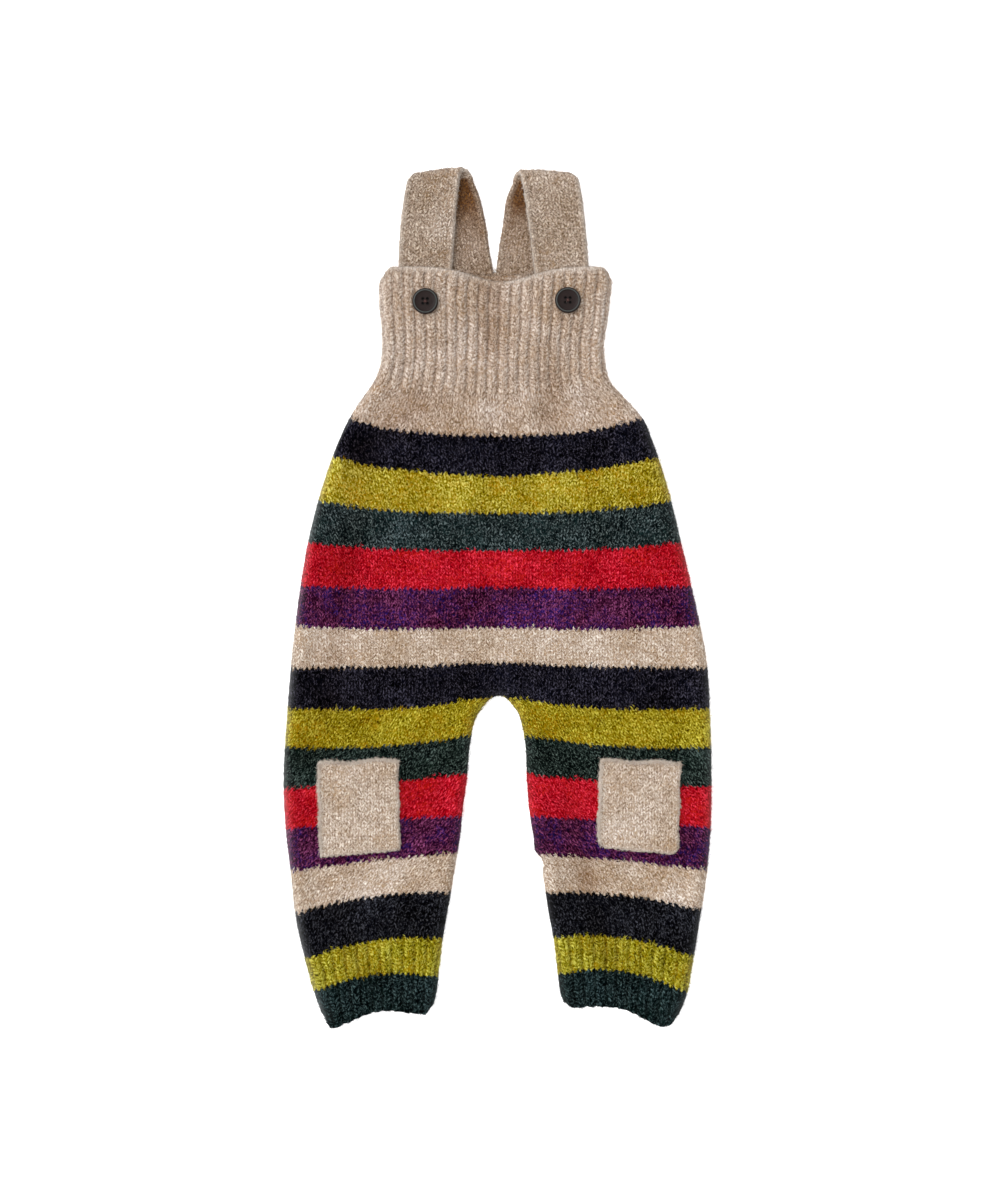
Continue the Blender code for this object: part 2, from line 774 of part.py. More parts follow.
def make_strap(side, collection):
    sections = strap_sections(side)
    across = np.linspace(0.0, 1.0, 6)
    outer = np.stack([sections[:, 0], sections[:, 1], sections[:, 4]], axis=1)
    inner = np.stack([sections[:, 2], sections[:, 3], sections[:, 4]], axis=1)
    grid = outer[:, None] * (1 - across[:, None]) + inner[:, None] * across[:, None]
    if side == "right":
        grid = grid[:, ::-1]
    material = make_material("strap " + side, YARN_COLOURS["oatmeal"], 0.95)
    open_sheet("strap_" + side, grid, material, STRAP_THICKNESS, 0.0, collection)


def make_patch(side, collection):
    """Knee patch on the leg's front, its corners blunted."""
    top_left, top_right, bottom_right, bottom_left = (np.array(corner) for corner in PATCHES[side])
    share = np.linspace(0.0, 1.0, 9)
    down, across = np.meshgrid(share, share, indexing="ij")
    down = down[..., None]
    across = across[..., None]
    top = top_left * (1 - across) + top_right * across
    bottom = bottom_left * (1 - across) + bottom_right * across
    plan = top * (1 - down) + bottom * down
    middle = plan.mean(axis=(0, 1))
    for row in (0, -1):
        for column in (0, -1):
            inward = middle - plan[row, column]
            plan[row, column] += inward / np.linalg.norm(inward) * PATCH_CORNER
    at_side = np.zeros(plan.shape[:2], dtype=bool)
    points, normals = cloth_surface(plan[..., 0], plan[..., 1], True, at_side)
    points = points + normals * (PATCH_GAP + PATCH_THICKNESS)
    material = make_material("knee patch " + side, YARN_COLOURS["oatmeal"], 0.95)
    open_sheet("knee_patch_" + side, points, material, PATCH_THICKNESS, -1.0, collection)


def button_rest(centre_x, centre_y):
    """Height of the highest rib under a button."""
    turn = np.linspace(0.0, 2 * math.pi, 25)[:-1]
    reach = np.array([0.0, 0.35, 0.7, 1.0])[:, None] * BUTTON_DIAMETER / 2
    x = centre_x + reach * np.cos(turn)
    y = centre_y + reach * np.sin(turn)
    points, _ = cloth_surface(x, y, True, np.zeros(x.shape, dtype=bool))
    return points[..., 2].max() + RIB_HEIGHT


def make_button_cutter(name, collection):
    """Four upright pins that cut the sewing holes."""
    mesh = bmesh.new()
    half = BUTTON_HOLE_SPACING / 2 * MM
    for x in (-half, half):
        for y in (-half, half):
            pin = bmesh.ops.create_cone(
                mesh,
                cap_ends=True,
                segments=10,
                radius1=BUTTON_HOLE_DIAMETER / 2 * MM,
                radius2=BUTTON_HOLE_DIAMETER / 2 * MM,
                depth=BUTTON_THICKNESS * 3 * MM,
            )
            bmesh.ops.translate(mesh, verts=pin["verts"], vec=Vector((x, y, 0.0)))
    data = bpy.data.meshes.new(name)
    mesh.to_mesh(data)
    mesh.free()
    cutter = bpy.data.objects.new(name, data)
    cutter.hide_render = True
    cutter.display_type = "WIRE"
    collection.objects.link(cutter)
    return cutter


def make_button(side, collection, cutters):
    """Four-hole button turned from a profile, with a raised rim round a shallow dish."""
    radius = BUTTON_DIAMETER / 2
    top = BUTTON_THICKNESS
    profile = [
        # radius, height
        (0.0, top - BUTTON_DISH),
        (radius - BUTTON_RIM - BUTTON_EDGE, top - BUTTON_DISH),
        (radius - BUTTON_RIM, top - BUTTON_EDGE / 3),
        (radius - BUTTON_RIM / 2, top),
        (radius - BUTTON_EDGE, top - BUTTON_EDGE / 3),
        (radius, top / 2 + BUTTON_EDGE),
        (radius - BUTTON_EDGE / 2, top / 2),
        (radius - BUTTON_RIM, 0.0),
        (0.0, 0.0),
    ]
    name = "button_" + side
    data = bpy.data.meshes.new(name)
    points = [(x * MM, 0.0, z * MM) for x, z in profile]
    data.from_pydata(points, [(k, k + 1) for k in range(len(points) - 1)], [])
    data.materials.append(make_material(name, (0.022, 0.018, 0.017), 0.4))
    button = bpy.data.objects.new(name, data)
    collection.objects.link(button)
    turned = button.modifiers.new("turned", "SCREW")
    turned.axis = "Z"
    turned.angle = 2 * math.pi
    turned.steps = 28
    turned.render_steps = 28
    turned.use_merge_vertices = True
    turned.merge_threshold = 0.00001
    x, y = BUTTON_CENTRES[side]
    base = button_rest(x, y) + SEAM_GAP
    button.location = ((x - ORIGIN_X) * MM, (y - ORIGIN_Y) * MM, base * MM)
    cutter = make_button_cutter(name + "_holes", cutters)
    cutter.location = button.location
    holes = button.modifiers.new("holes", "BOOLEAN")
    holes.operation = "DIFFERENCE"
    holes.solver = "EXACT"
    holes.object = cutter


def main():
    for thing in list(bpy.data.objects):
        bpy.data.objects.remove(thing)
    collection = bpy.data.collections.new("baby_romper")
    cutters = bpy.data.collections.new("cutters")
    bpy.context.scene.collection.children.link(collection)
    bpy.context.scene.collection.children.link(cutters)
    for yarn, colour in YARN_COLOURS.items():
        make_material(yarn + " yarn", colour, 0.95)
    make_bib(collection)
    make_body(collection)
    for side in ("left", "right"):
        make_leg(side, collection)
        make_cuff(side, collection)
        make_strap(side, collection)
        make_patch(side, collection)
        make_button(side, collection, cutters)


main()
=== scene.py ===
# Baby romper in felted striped knit, laid flat and seen from straight above.
# Tables and sizes are in millimetres; meshes are in metres, in the frame's axes.
import math
import bpy
import numpy as np
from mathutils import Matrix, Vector


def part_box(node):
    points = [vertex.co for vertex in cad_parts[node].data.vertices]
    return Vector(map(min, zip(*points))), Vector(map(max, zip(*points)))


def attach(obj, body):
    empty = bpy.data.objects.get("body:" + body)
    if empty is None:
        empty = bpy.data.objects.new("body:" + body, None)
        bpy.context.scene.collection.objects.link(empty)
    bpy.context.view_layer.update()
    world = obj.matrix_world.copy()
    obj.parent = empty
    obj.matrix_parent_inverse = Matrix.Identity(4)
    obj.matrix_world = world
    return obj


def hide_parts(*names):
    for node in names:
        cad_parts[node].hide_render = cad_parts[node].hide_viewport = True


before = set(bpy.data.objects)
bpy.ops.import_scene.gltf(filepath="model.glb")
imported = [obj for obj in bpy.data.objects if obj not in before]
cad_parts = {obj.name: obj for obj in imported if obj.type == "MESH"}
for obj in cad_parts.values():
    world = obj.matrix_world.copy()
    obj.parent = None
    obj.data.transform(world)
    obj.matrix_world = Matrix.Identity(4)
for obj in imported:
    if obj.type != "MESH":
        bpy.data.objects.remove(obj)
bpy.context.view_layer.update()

mm = 0.001

# Garment sizes

garment = {
    "originX": -0.33, "originY": -0.22,     # middle of the footprint in the tables' own millimetres
    "wall": 3.0,                            # felted knit
    "seamHeight": 4.3,                      # mid-height of the rolled sides
    "frontHeight": 7.4,                     # outer face of the front away from the sides
    "rollRadius": 5.0,                      # plan depth of the rounded side
    "bulgeHeight": 1.6, "bulgePlace": 7.0, "bulgeWidth": 6.0,
    "waleWidth": 4.05,                      # one stitch across
    "rowHeight": 2.85,
    "ribHeight": 1.1, "bibRibs": 21, "cuffRibs": 11,
    "foldShade": 0.24,                      # painted shade for each millimetre that a fold is deep
    "edgeLightReach": 2.0,                        # how far in from an edge the painted edge light reaches
    "paintedEdgeLight": {"left": 0.25, "right": 0.14, "between": 0.06, "end": 0.22, "strap": 0.28},      # and how pale it paints the cloth, most on the left, which faces the sun
    "strapEndY": 187.0, "strapLift": 2.45,  # where the straps end inside the bib, and how far they lift it
    "strapGap": 1, "strapSlopes": (16, 12, 14),     # from the strap: inward, outward and below its end
    "backDents": (8, 25),                   # how far in from the sides the back's dents begin and grow full
    "ribInset": 0.4, "ribPower": 0.75, "ribFacing": (0.10, 0.55),       # ribs only where the cloth faces up
    "sideSteps": 8,                         # columns round each rolled side
    "endReach": 0.8,                        # of a free end's oval, as a share of half the wall
}
origin = np.array([garment["originX"], garment["originY"], 0.0])
endRows = 5             # rows round a free end

# outline of the two outer sides: y, left x, right x
sideLine = [
    (224.7, -79.5, 77.7), (221.9, -81.6, 78.8), (207.9, -83.0, 78.1), (191.1, -81.6, 76.0),
    (174.3, -80.9, 73.9), (165.9, -81.6, 74.6), (157.5, -83.7, 76.0), (149.1, -87.9, 79.5),
    (140.7, -94.0, 87.2), (123.9, -104.7, 101.9), (107.1, -112.4, 108.9), (81.9, -121.5, 117.3),
    (39.9, -132.7, 127.8), (-2.1, -139.7, 137.6), (-44.1, -144.6, 146.0), (-86.1, -147.9, 148.6),
    (-128.1, -150.2, 149.5), (-161.7, -148.8, 149.0), (-195.3, -145.0, 146.0),
    (-228.9, -141.0, 141.0), (-262.5, -132.7, 135.2), (-279.3, -127.8, 131.8), (-293.3, -122.4, 126.0),
]

# outline of the legs' inner sides: y, left x, right x
innerLine = [
    (-70.3, -3.4, 4.3), (-72.1, -6.0, 6.9), (-75.6, -9.2, 9.9), (-78.4, -11.6, 12.2),
    (-81.2, -13.6, 14.0),
    (-87.5, -16.5, 16.2), (-101.5, -19.3, 18.9), (-130.2, -22.1, 20.3), (-144.9, -24.2, 21.4),
    (-170.1, -27.0, 25.2), (-179.4, -28.5, 26.9), (-182.6, -29.1, 29.9), (-195.3, -31.2, 31.6),
    (-220.5, -35.4, 35.4), (-245.7, -39.6, 39.9),
    (-262.5, -41.7, 41.9), (-279.3, -43.8, 44.5), (-288.4, -46.2, 48.2),
]
crotch = {"x": 0.45, "rise": 0.9, "slack": 0.01}

bibTop = {"y": 229.4, "corner": 6.5, "dip": 10.2, "dipX": 3.2, "dipWidth": 29.5, "backY": 226.6,
          "backWidth": 42.0, "rimBead": 0.7, "rimDepth": 3.2}

# courses across the body: y at the sides, between, at the centre
bodyCourses = [
    (157.5, 147.7, 147.7), (125.3, 113.4, 113.1), (98.0, 86.5, 83.7), (67.9, 59.2, 58.8),
    (37.8, 31.9, 32.2), (8.4, 5.6, 7.0), (-20.3, -23.5, -21.7), (-49.4, -48.0, -45.8),
    (-78.1, -79.1, -70.4),
]

# courses across each leg: y at the outer side, in the middle, at the inner side
legCourses = {
    "left": [
        (-105.0, -104.6, -96.6), (-133.7, -130.2, -123.2), (-162.4, -156.8, -153.3),
        (-191.8, -184.1, -179.2), (-221.2, -209.3, -206.2), (-253.1, -240.5, -238.4),
        (-275.8, -263.9, -265.3),
    ],
    "right": [
        (-105.0, -104.6, -96.6), (-132.4, -130.0, -123.0), (-161.3, -156.8, -153.3),
        (-191.0, -184.4, -180.0), (-218.8, -208.6, -206.9), (-251.6, -238.2, -238.0),
        (-277.0, -261.4, -264.0),
    ],
}

# bottom edge of each cuff: share of the width from the outer side, y
hemLine = {
    "left": [
        (0.00, -291.0), (0.07, -299.4), (0.20, -297.6), (0.35, -292.6), (0.50, -289.0),
        (0.65, -288.7), (0.85, -290.3), (0.95, -289.4), (1.00, -284.2),
    ],
    "right": [
        (0.00, -291.4), (0.07, -297.6), (0.17, -299.2), (0.27, -295.6), (0.45, -288.2),
        (0.65, -285.6), (0.81, -285.5), (0.93, -285.9), (1.00, -283.2),
    ],
}

# soft folds of the front: start x, y, end x, y, half width, height
softFolds = [
    (-53, 138, -96, 103, 12, -1.1), (-96, 103, -107, 22, 12, -1.1), (-107, 22, -119, -72, 12, -1.0),
    (-119, -72, -133, -110, 9, -0.8), (-4, 218, -4, 176, 9, -1.1), (37, 150, 36, 128, 10, -1.1),
    (-12, 140, -12, 122, 7, 0.9), (23, 145, 22, 128, 6, 0.8), (-64, -135, -62, -172, 8, -0.9),
    (-51, -178, -52, -205, 9, 1.0), (-114, -222, -96, -262, 10, -1.1), (51, -140, 61, -195, 9, -1.1),
    (61, -195, 76, -255, 9, -1.1), (118, -210, 104, -262, 9, 0.9),
]

# yarns of the stripes from the bib down, ten rows of stitches to each
rowsInBand = 10
bodyBands = ["oatmeal", "navy", "lime", "green", "red", "purple", "cream", "navy", "legLime"]
legBands = ["navy", "legLime", "legGreen", "red", "purple", "cream", "legNavy", "cuffLime", "cuffGreen"]

# colours of the spun yarns, as the eye reads them (sRGB 0 to 255): pit, body, glint, stray fibre
yarns = {
    "oatmeal": ((118, 94, 74), (187, 164, 145), (238, 224, 210), (164, 128, 88)),
    "cream": ((126, 101, 79), (194, 172, 152), (248, 237, 223), (178, 144, 106)),
    "strap": ((100, 79, 60), (169, 147, 128), (229, 213, 195), (152, 118, 80)),
    "navy": ((0, 0, 0), (0, 0, 3), (72, 69, 82), (12, 14, 28)),
    "legNavy": ((0, 0, 0), (0, 0, 2), (70, 71, 78), (4, 6, 16)),
    "lime": ((72, 56, 0), (152, 133, 6), (230, 218, 106), (180, 128, 2)),
    "legLime": ((56, 42, 0), (142, 124, 2), (222, 210, 82), (170, 120, 0)),
    "cuffLime": ((60, 50, 0), (147, 137, 12), (218, 212, 96), (170, 134, 2)),
    "green": ((0, 1, 2), (6, 18, 20), (106, 120, 120), (26, 48, 48)),
    "legGreen": ((0, 1, 1), (1, 9, 8), (88, 104, 97), (16, 32, 26)),
    "cuffGreen": ((0, 1, 1), (0, 8, 10), (74, 94, 94), (14, 32, 30)),
    "red": ((92, 0, 6), (175, 2, 22), (240, 62, 82), (206, 36, 22)),
    "purple": ((6, 0, 6), (54, 8, 40), (142, 70, 112), (36, 30, 112)),
}
inside = (0.34, 0.18, 0.06)             # painted shade: what share of a colour is left inside the tube and wherever else the cloth is painted as shaded


# Curves and heights

# cubic curve through a table's points, its slopes taken from their neighbours
def smoothLine(places, values, at):
    slopes = np.gradient(values, places)
    index = np.clip(np.searchsorted(places, at) - 1, 0, len(places) - 2)
    width = places[index + 1] - places[index]
    t = np.clip((at - places[index]) / width, 0.0, 1.0)
    rise = values[index + 1] - values[index]
    bendStart = slopes[index] * width - rise
    bendEnd = rise - slopes[index + 1] * width
    return values[index] + t * rise + t * (1 - t) * (bendStart * (1 - t) + bendEnd * t)


# x of a side's outline at a height in the plan, by that curve
def lineX(table, column, y):
    rows = np.array(table, dtype=float)[::-1]
    return smoothLine(rows[:, 0], rows[:, column], np.asarray(y, dtype=float))


# smooth step from 0 at start to 1 at end
def fade(value, start, end):
    t = np.clip((value - start) / (end - start), 0.0, 1.0)
    return t * t * (3 - 2 * t)


# the same directions at length 1
def unit(vectors):
    return vectors / np.maximum(np.linalg.norm(vectors, axis=-1, keepdims=True), 1e-9)


# bell curve of a value, 1 at the middle
def bell(value, width):
    return np.exp(-((value / width) ** 2))


# parabola of the crotch arch over the legs' inner corners
def archY(x):
    half = (innerLine[0][2] - innerLine[0][1]) / 2
    share = np.clip((x - crotch["x"]) / half, -1.0, 1.0)
    return innerLine[0][0] + crotch["rise"] * (1 - share**2)


# whether a place is between the legs' inner corners
def onArch(x):
    return np.abs(x - crotch["x"]) <= innerLine[0][2] - crotch["x"] + crotch["slack"]


# a side's outline as points at even steps in y
def sideRun(table, column, count):
    rows = np.array(table)
    y = np.linspace(rows[0, 0], rows[-1, 0], count)
    return np.stack([lineX(table, column, y), y], axis=1)


# every side where front and back fold into each other, as lines of points
def rolledSides():
    archX = np.linspace(innerLine[0][1], innerLine[0][2], 9)
    arch = np.stack([archX, archY(archX)], axis=1)
    between = np.concatenate([sideRun(innerLine, 1, 70)[::-1], arch[1:-1], sideRun(innerLine, 2, 70)])
    return {"left": sideRun(sideLine, 1, 110), "right": sideRun(sideLine, 2, 110), "between": between}


sides = rolledSides()


# squared distance in plan to a straight piece
def pieceDistance(x, y, startX, startY, endX, endY):
    alongX, alongY = endX - startX, endY - startY
    share = np.clip(((x - startX) * alongX + (y - startY) * alongY) / (alongX**2 + alongY**2), 0, 1)
    return (x - startX - share * alongX) ** 2 + (y - startY - share * alongY) ** 2


# distance in plan to the nearest of the named rolled sides
def sideDistance(x, y, names=("left", "right", "between")):
    nearest = np.full(np.shape(x), np.inf)
    for name in names:
        for start, end in zip(sides[name][:-1], sides[name][1:]):
            np.minimum(nearest, pieceDistance(x, y, *start, *end), out=nearest)
    return np.sqrt(nearest)


# sum of the soft folds, each a rounded ridge or trough along its line
def foldRelief(x, y):
    relief = np.zeros_like(x)
    for startX, startY, endX, endY, width, height in softFolds:
        relief += height * np.exp(-pieceDistance(x, y, startX, startY, endX, endY) / width**2)
    return relief


# height that the strap ends inside the bib give to its front
def strapLift(x, y):
    lift = np.zeros_like(x)
    gap, (inward, outward, below) = garment["strapGap"], garment["strapSlopes"]
    for side, mirror in (("left", -1), ("right", 1)):
        rows = np.array(strapFronts[side])
        outer = np.interp(y, rows[:, 1], rows[:, 0] * mirror)
        inner = np.interp(y, rows[:, 3], rows[:, 2] * mirror)
        across = x * mirror
        over = fade(across, inner - inward, inner - gap) * (1 - fade(across, outer + gap, outer + outward))
        over *= fade(y, garment["strapEndY"] - below, garment["strapEndY"] - gap)
        lift += garment["strapLift"] * over
    return lift


# uneven felt in each place: the length of its waves and their height
felt = {
    "front": (34, 0.22), "frontFine": (11, 0.10), "back": (60, 0.35), "ribs": (26, 0.05),
    "surface": (6, 0.16), "strap": (8, 0.14), "patch": (6, 0.10), "patchEdge": (3.4, 0.35),
    "cluster": (14, 1.0),
}
feltWaveCount = 9
feltWaveSpread = (0.6, 1.6)     # shortest and longest wave, as shares of that length


# a quarter of the sum of slow sine waves with fixed phases, times the place's height
def feltWaves(x, y, place, seed):
    size, height = felt[place]
    rng = np.random.default_rng(seed)
    total = np.zeros_like(x)
    for _ in range(feltWaveCount):
        turn = rng.uniform(0, 2 * math.pi)
        length = size * rng.uniform(*feltWaveSpread)
        wave = (x * math.cos(turn) + y * math.sin(turn)) * 2 * math.pi / length
        total += np.sin(wave + rng.uniform(0, 2 * math.pi))
    return height * total / 4


# outer points of the front or the back: a quarter ellipse at each side, then level with its relief
def clothPoints(x, y, front, atSide):
    distance = np.where(atSide, 0.0, sideDistance(x, y))
    cosine = 1 - np.minimum(distance / garment["rollRadius"], 1.0)
    sine = np.sqrt(1 - cosine**2)
    middle = garment["seamHeight"]
    if front:
        bulge = garment["bulgeHeight"] * bell(distance - garment["bulgePlace"], garment["bulgeWidth"])
        top = garment["frontHeight"] + np.sqrt(bulge**2 + strapLift(x, y) ** 2) + foldRelief(x, y)
        top += feltWaves(x, y, "front", 4) + feltWaves(x, y, "frontFine", 5)
        z = middle + (top - middle) * sine
    else:
        dents = np.maximum(feltWaves(x, y, "back", 6), 0.0) * fade(distance, *garment["backDents"])
        z = middle - middle * sine + dents
    return np.stack([x, y, z], axis=-1)


# Plan grids

peakWidth = 0.3         # of a body's course at its centre, as a share of its half width


# one of the body's courses: a cubic rise to the sides and a soft peak at the centre
def bodyCourse(row):
    sideY, betweenY, centreY = bodyCourses[row]
    left, right = lineX(sideLine, 1, sideY), lineX(sideLine, 2, sideY)

    def height(x):
        across = (2 * x - left - right) / (right - left)
        peak = (centreY - betweenY) * bell(across, peakWidth)
        return betweenY + (sideY - betweenY) * np.abs(across) ** 3 + peak

    return height


# the bib's front top edge: level, with a soft dip and round corners
def bibTopCourse(x):
    inset = np.minimum(np.minimum(x - sideLine[0][1], sideLine[0][2] - x) / bibTop["corner"], 1.0)
    corner = bibTop["corner"] * (1 - np.sqrt(1 - (1 - np.maximum(inset, 0.0)) ** 2))
    return bibTop["y"] - corner - bibTop["dip"] * bell(x - bibTop["dipX"], bibTop["dipWidth"])


# the bib's back top edge: a little higher in the middle, where it shows over the front's dip
def backTopCourse(x):
    rise = bibTop["backY"] - sideLine[0][0]
    return sideLine[0][0] + rise * bell(x - crotch["x"], bibTop["backWidth"])


# a leg's course: a parabola over the share of its width
def legCourse(outerY, middleY, innerY):
    def height(share):
        sides = outerY * (1 - share) * (1 - 2 * share) + innerY * share * (2 * share - 1)
        return sides + 4 * middleY * share * (1 - share)

    return height


# a cuff's bottom edge over the share of its width
def hemCourse(side):
    rows = np.array(hemLine[side])
    return lambda share: smoothLine(rows[:, 0], rows[:, 1], share)


# x of a row's points: cosine steps round each side, even steps between
def columnPlaces(left, right, middle):
    turn = np.linspace(0, math.pi / 2, garment["sideSteps"] + 1)[:-1]
    edge = garment["rollRadius"] * (1 - np.cos(turn))
    even = np.linspace(left + garment["rollRadius"], right - garment["rollRadius"], middle + 1)
    return np.concatenate([left + edge, even, (right - edge)[::-1]])


legMiddle = 88          # even columns across a leg
archMiddle = 8          # columns across the crotch arch


# columns of the body, which draw together into two legs and the arch at its last row
def bodyPlaces(left, right, progress):
    leftLeg = columnPlaces(left, innerLine[0][1], legMiddle)
    rightLeg = columnPlaces(innerLine[0][2], right, legMiddle)
    arch = np.linspace(innerLine[0][1], innerLine[0][2], archMiddle + 1)[1:-1]
    atCrotch = np.concatenate([leftLeg, arch, rightLeg])
    even = columnPlaces(left, right, len(atCrotch) - 1 - 2 * garment["sideSteps"])
    return even * (1 - progress**3) + atCrotch * progress**3


# rows between courses, as a course's index and a share of the way to the next
def rowPlaces(stepsBetween):
    rows = [(index, step / steps) for index, steps in enumerate(stepsBetween) for step in range(steps)]
    return rows + [(len(stepsBetween) - 1, 1.0)]


# full-width plan grid between courses that are functions of x
def widePlan(courses, rows):
    grid = []
    for number, (index, share) in enumerate(rows):
        def height(x):
            return courses[index](x) * (1 - share) + courses[index + 1](x) * share

        # each end is where the course meets the outline, found by going back and forth between them
        ends = []
        for column in (1, 2):
            x = lineX(sideLine, column, 0.0)
            for _ in range(20):
                x = lineX(sideLine, column, height(x))
            ends.append(x)
        bodyShare = max(0.0, (index + share - 1) / (len(courses) - 2))
        x = bodyPlaces(ends[0], ends[1], bodyShare)
        grid.append(np.stack([x, height(x)], axis=-1))
    return np.array(grid)


# a leg's plan grid between courses over the share of its width
def legPlan(side, courses, rows):
    column = 1 if side == "left" else 2
    grid = []
    for index, share in rows:
        def height(across):
            return courses[index](across) * (1 - share) + courses[index + 1](across) * share

        outerX = lineX(sideLine, column, height(0.0))
        innerX = lineX(innerLine, column, height(1.0))
        x = columnPlaces(min(outerX, innerX), max(outerX, innerX), legMiddle)
        grid.append(np.stack([x, height((x - outerX) / (innerX - outerX))], axis=-1))
    return np.array(grid)


# Tubes of cloth

# closed rings from a front and a back plan grid: front left to right, then every second column
# of the back from right to left
def tubeRings(frontPlan, backPlan, overArch=False):
    atSide = np.zeros(frontPlan.shape[:2], dtype=bool)
    atSide[:, [0, -1]] = True
    if overArch:
        atSide[-1] |= onArch(frontPlan[-1, :, 0])
    front = clothPoints(frontPlan[..., 0], frontPlan[..., 1], True, atSide)
    back = clothPoints(backPlan[..., 0], backPlan[..., 1], False, atSide)
    return np.concatenate([front, back[:, np.arange(front.shape[1] - 3, 1, -2)]], axis=1)


# outward directions of rings: the cross product of the steps down and round, turned away from the middles
def ringNormals(rings):
    around = np.roll(rings, -1, axis=1) - np.roll(rings, 1, axis=1)
    normal = unit(np.cross(np.gradient(rings, axis=0), around))
    return normal * np.sign((normal * (rings - rings.mean(axis=1, keepdims=True))).sum())


# the rows of a closed wall: outer face, one end, inner face, other end
def wrapRows(outerRows, lastEnd, innerRows, firstEnd):
    return np.concatenate([outerRows, lastEnd, innerRows, firstEnd])


# a wall that is one grid closed both ways: outer face, end, inner face, end. A free end is half an
# oval round the middle of the wall, and an end that meets the next piece is flat
def closedWall(outer, inner, kept, freeFirst, freeLast):
    ends = {}
    for last, free in ((True, freeLast), (False, freeFirst)):
        row, before = (-1, -2) if last else (0, 1)
        away = unit(outer[row] - outer[before])
        half = (outer[row] - inner[row]) / 2
        reach = garment["endReach"] * np.linalg.norm(half, axis=-1, keepdims=True)
        turns = np.linspace(0, math.pi, endRows + 2)[1:-1] if free else [math.pi / 2]
        ends[last] = np.array([
            (outer[row] + inner[row]) / 2 + half * math.cos(turn) + free * away * reach * math.sin(turn)
            for turn in turns])
    return wrapRows(outer, ends[True], inner[kept][::-1], ends[False][::-1])


# values of the outer rows repeated over a wall's two ends and its inner face, which can have its own
def wallValues(values, kept, freeFirst, freeLast, inside=None):
    last = np.repeat(values[-1:], endRows if freeLast else 1, axis=0)
    first = np.repeat(values[:1], endRows if freeFirst else 1, axis=0)
    innerRows = values[kept] if inside is None else inside[kept, None] + 0 * values[kept]
    return wrapRows(values, last, innerRows[::-1], first)


def addObject(name, data):
    piece = bpy.data.objects.new(name, data)
    bpy.context.scene.collection.objects.link(piece)
    return piece


# points in the tables' millimetres and faces of one size into an object
def newPiece(name, points, faces, material):
    mesh = bpy.data.meshes.new(name)
    mesh.vertices.add(len(points))
    mesh.vertices.foreach_set("co", ((points - origin) * mm).astype(np.float32).ravel())
    mesh.loops.add(faces.size)
    mesh.loops.foreach_set("vertex_index", faces.astype(np.int32).ravel())
    mesh.polygons.add(len(faces))
    mesh.polygons.foreach_set("loop_start", np.arange(0, faces.size, faces.shape[1], dtype=np.int32))
    mesh.update(calc_edges=True)
    mesh.materials.append(material)
    return addObject(name, mesh)


# a closed smooth piece, turned outward by its volume, with the stitch coordinates as a UV map and two
# point values: one of painted shading, above 0 where painted shade darkens the cloth and below 0 where
# painted light at an edge makes it paler, and ribbed, where two stitches make one rib
def clothMesh(name, points, faces, knit, hollow, ribbed, material):
    flat = points.reshape(-1, 3)
    corners = flat[faces]
    volume = 0.0
    for k in range(1, faces.shape[1] - 1):
        volume += np.einsum("ij,ij->", corners[:, 0], np.cross(corners[:, k], corners[:, k + 1]))
    if volume < 0:
        faces = faces[:, ::-1]
    piece = newPiece(name, flat, faces, material)
    mesh = piece.data
    mesh.polygons.foreach_set("use_smooth", np.ones(len(faces), dtype=bool))
    layer = mesh.uv_layers.new(name="knit")
    layer.data.foreach_set("uv", knit.reshape(-1, 2)[faces.ravel()].astype(np.float32).ravel())
    for label, values in (("hollow", hollow), ("ribbed", ribbed)):
        attribute = mesh.attributes.new(label, "FLOAT", "POINT")
        values = np.broadcast_to(values, points.shape[:-1])
        attribute.data.foreach_set("value", values.astype(np.float32).ravel())
    return piece


# faces of a grid closed round both ways
def torusFaces(rows, columns):
    index = np.arange(rows * columns).reshape(rows, columns)
    below, beside = np.roll(index, -1, axis=0), np.roll(index, -1, axis=1)
    return np.stack([index, below, np.roll(below, -1, axis=1), beside], axis=-1).reshape(-1, 4)


# the outer rows keep the shading of the whole tube, so that no line shows where two pieces meet
def keepShading(piece, normals):
    shading = np.zeros((len(piece.data.vertices), 3))
    shading[:normals.shape[0] * normals.shape[1]] = normals.reshape(-1, 3)
    piece.data.normals_split_custom_set_from_vertices(shading.tolist())


# every piece rides on the garment's one body and stands for its solids
def finishPiece(piece, nodes=()):
    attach(piece, "root")
    if nodes:
        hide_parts(*nodes)


innerEnds = [0, 2, 5, 8]        # rows of a tube's inner face, counted from each end
innerBetween = 10               # and evenly between those


# rows of a tube's inner face: finer near its ends, where what lies inside shows
def innerRowPlaces(count):
    ends = np.array(innerEnds)
    between = np.linspace(ends[-1], count - 1 - ends[-1], innerBetween)
    return np.unique(np.concatenate([ends, between, count - 1 - ends]).astype(int))


# a tube's rows from first to last as one cloth: its wall and what its fibres grow on
def makeTube(name, tube, first, last, freeFirst, freeLast, material, nodes, bands):
    rings, outer, inner, normals, knit, hollow, ribbed, inShade = (
        tube[key][first:last + 1]
        for key in ("rings", "outer", "inner", "normals", "knit", "hollow", "ribbed", "inside"))
    wall = innerRowPlaces(len(outer)), freeFirst, freeLast
    points = closedWall(outer, inner, *wall)
    piece = clothMesh(name, points, torusFaces(*points.shape[:2]), wallValues(knit, *wall),
                      wallValues(hollow, *wall, inShade), wallValues(ribbed, *wall, 0 * inShade), material)
    keepShading(piece, normals)
    finishPiece(piece, nodes)
    more = endRows - 1
    ground = points[:len(outer) + more * freeLast]
    if freeFirst:
        ground = np.concatenate([points[-more:], ground])

    def overEnds(values):
        return np.concatenate([np.repeat(values[:1], more * freeFirst, axis=0), values,
                               np.repeat(values[-1:], more * freeLast, axis=0)])

    makeFuzz(name + "Fibres", ground, ringNormals(ground), overEnds(knit), bands,
             shade=overEnds(hollow))
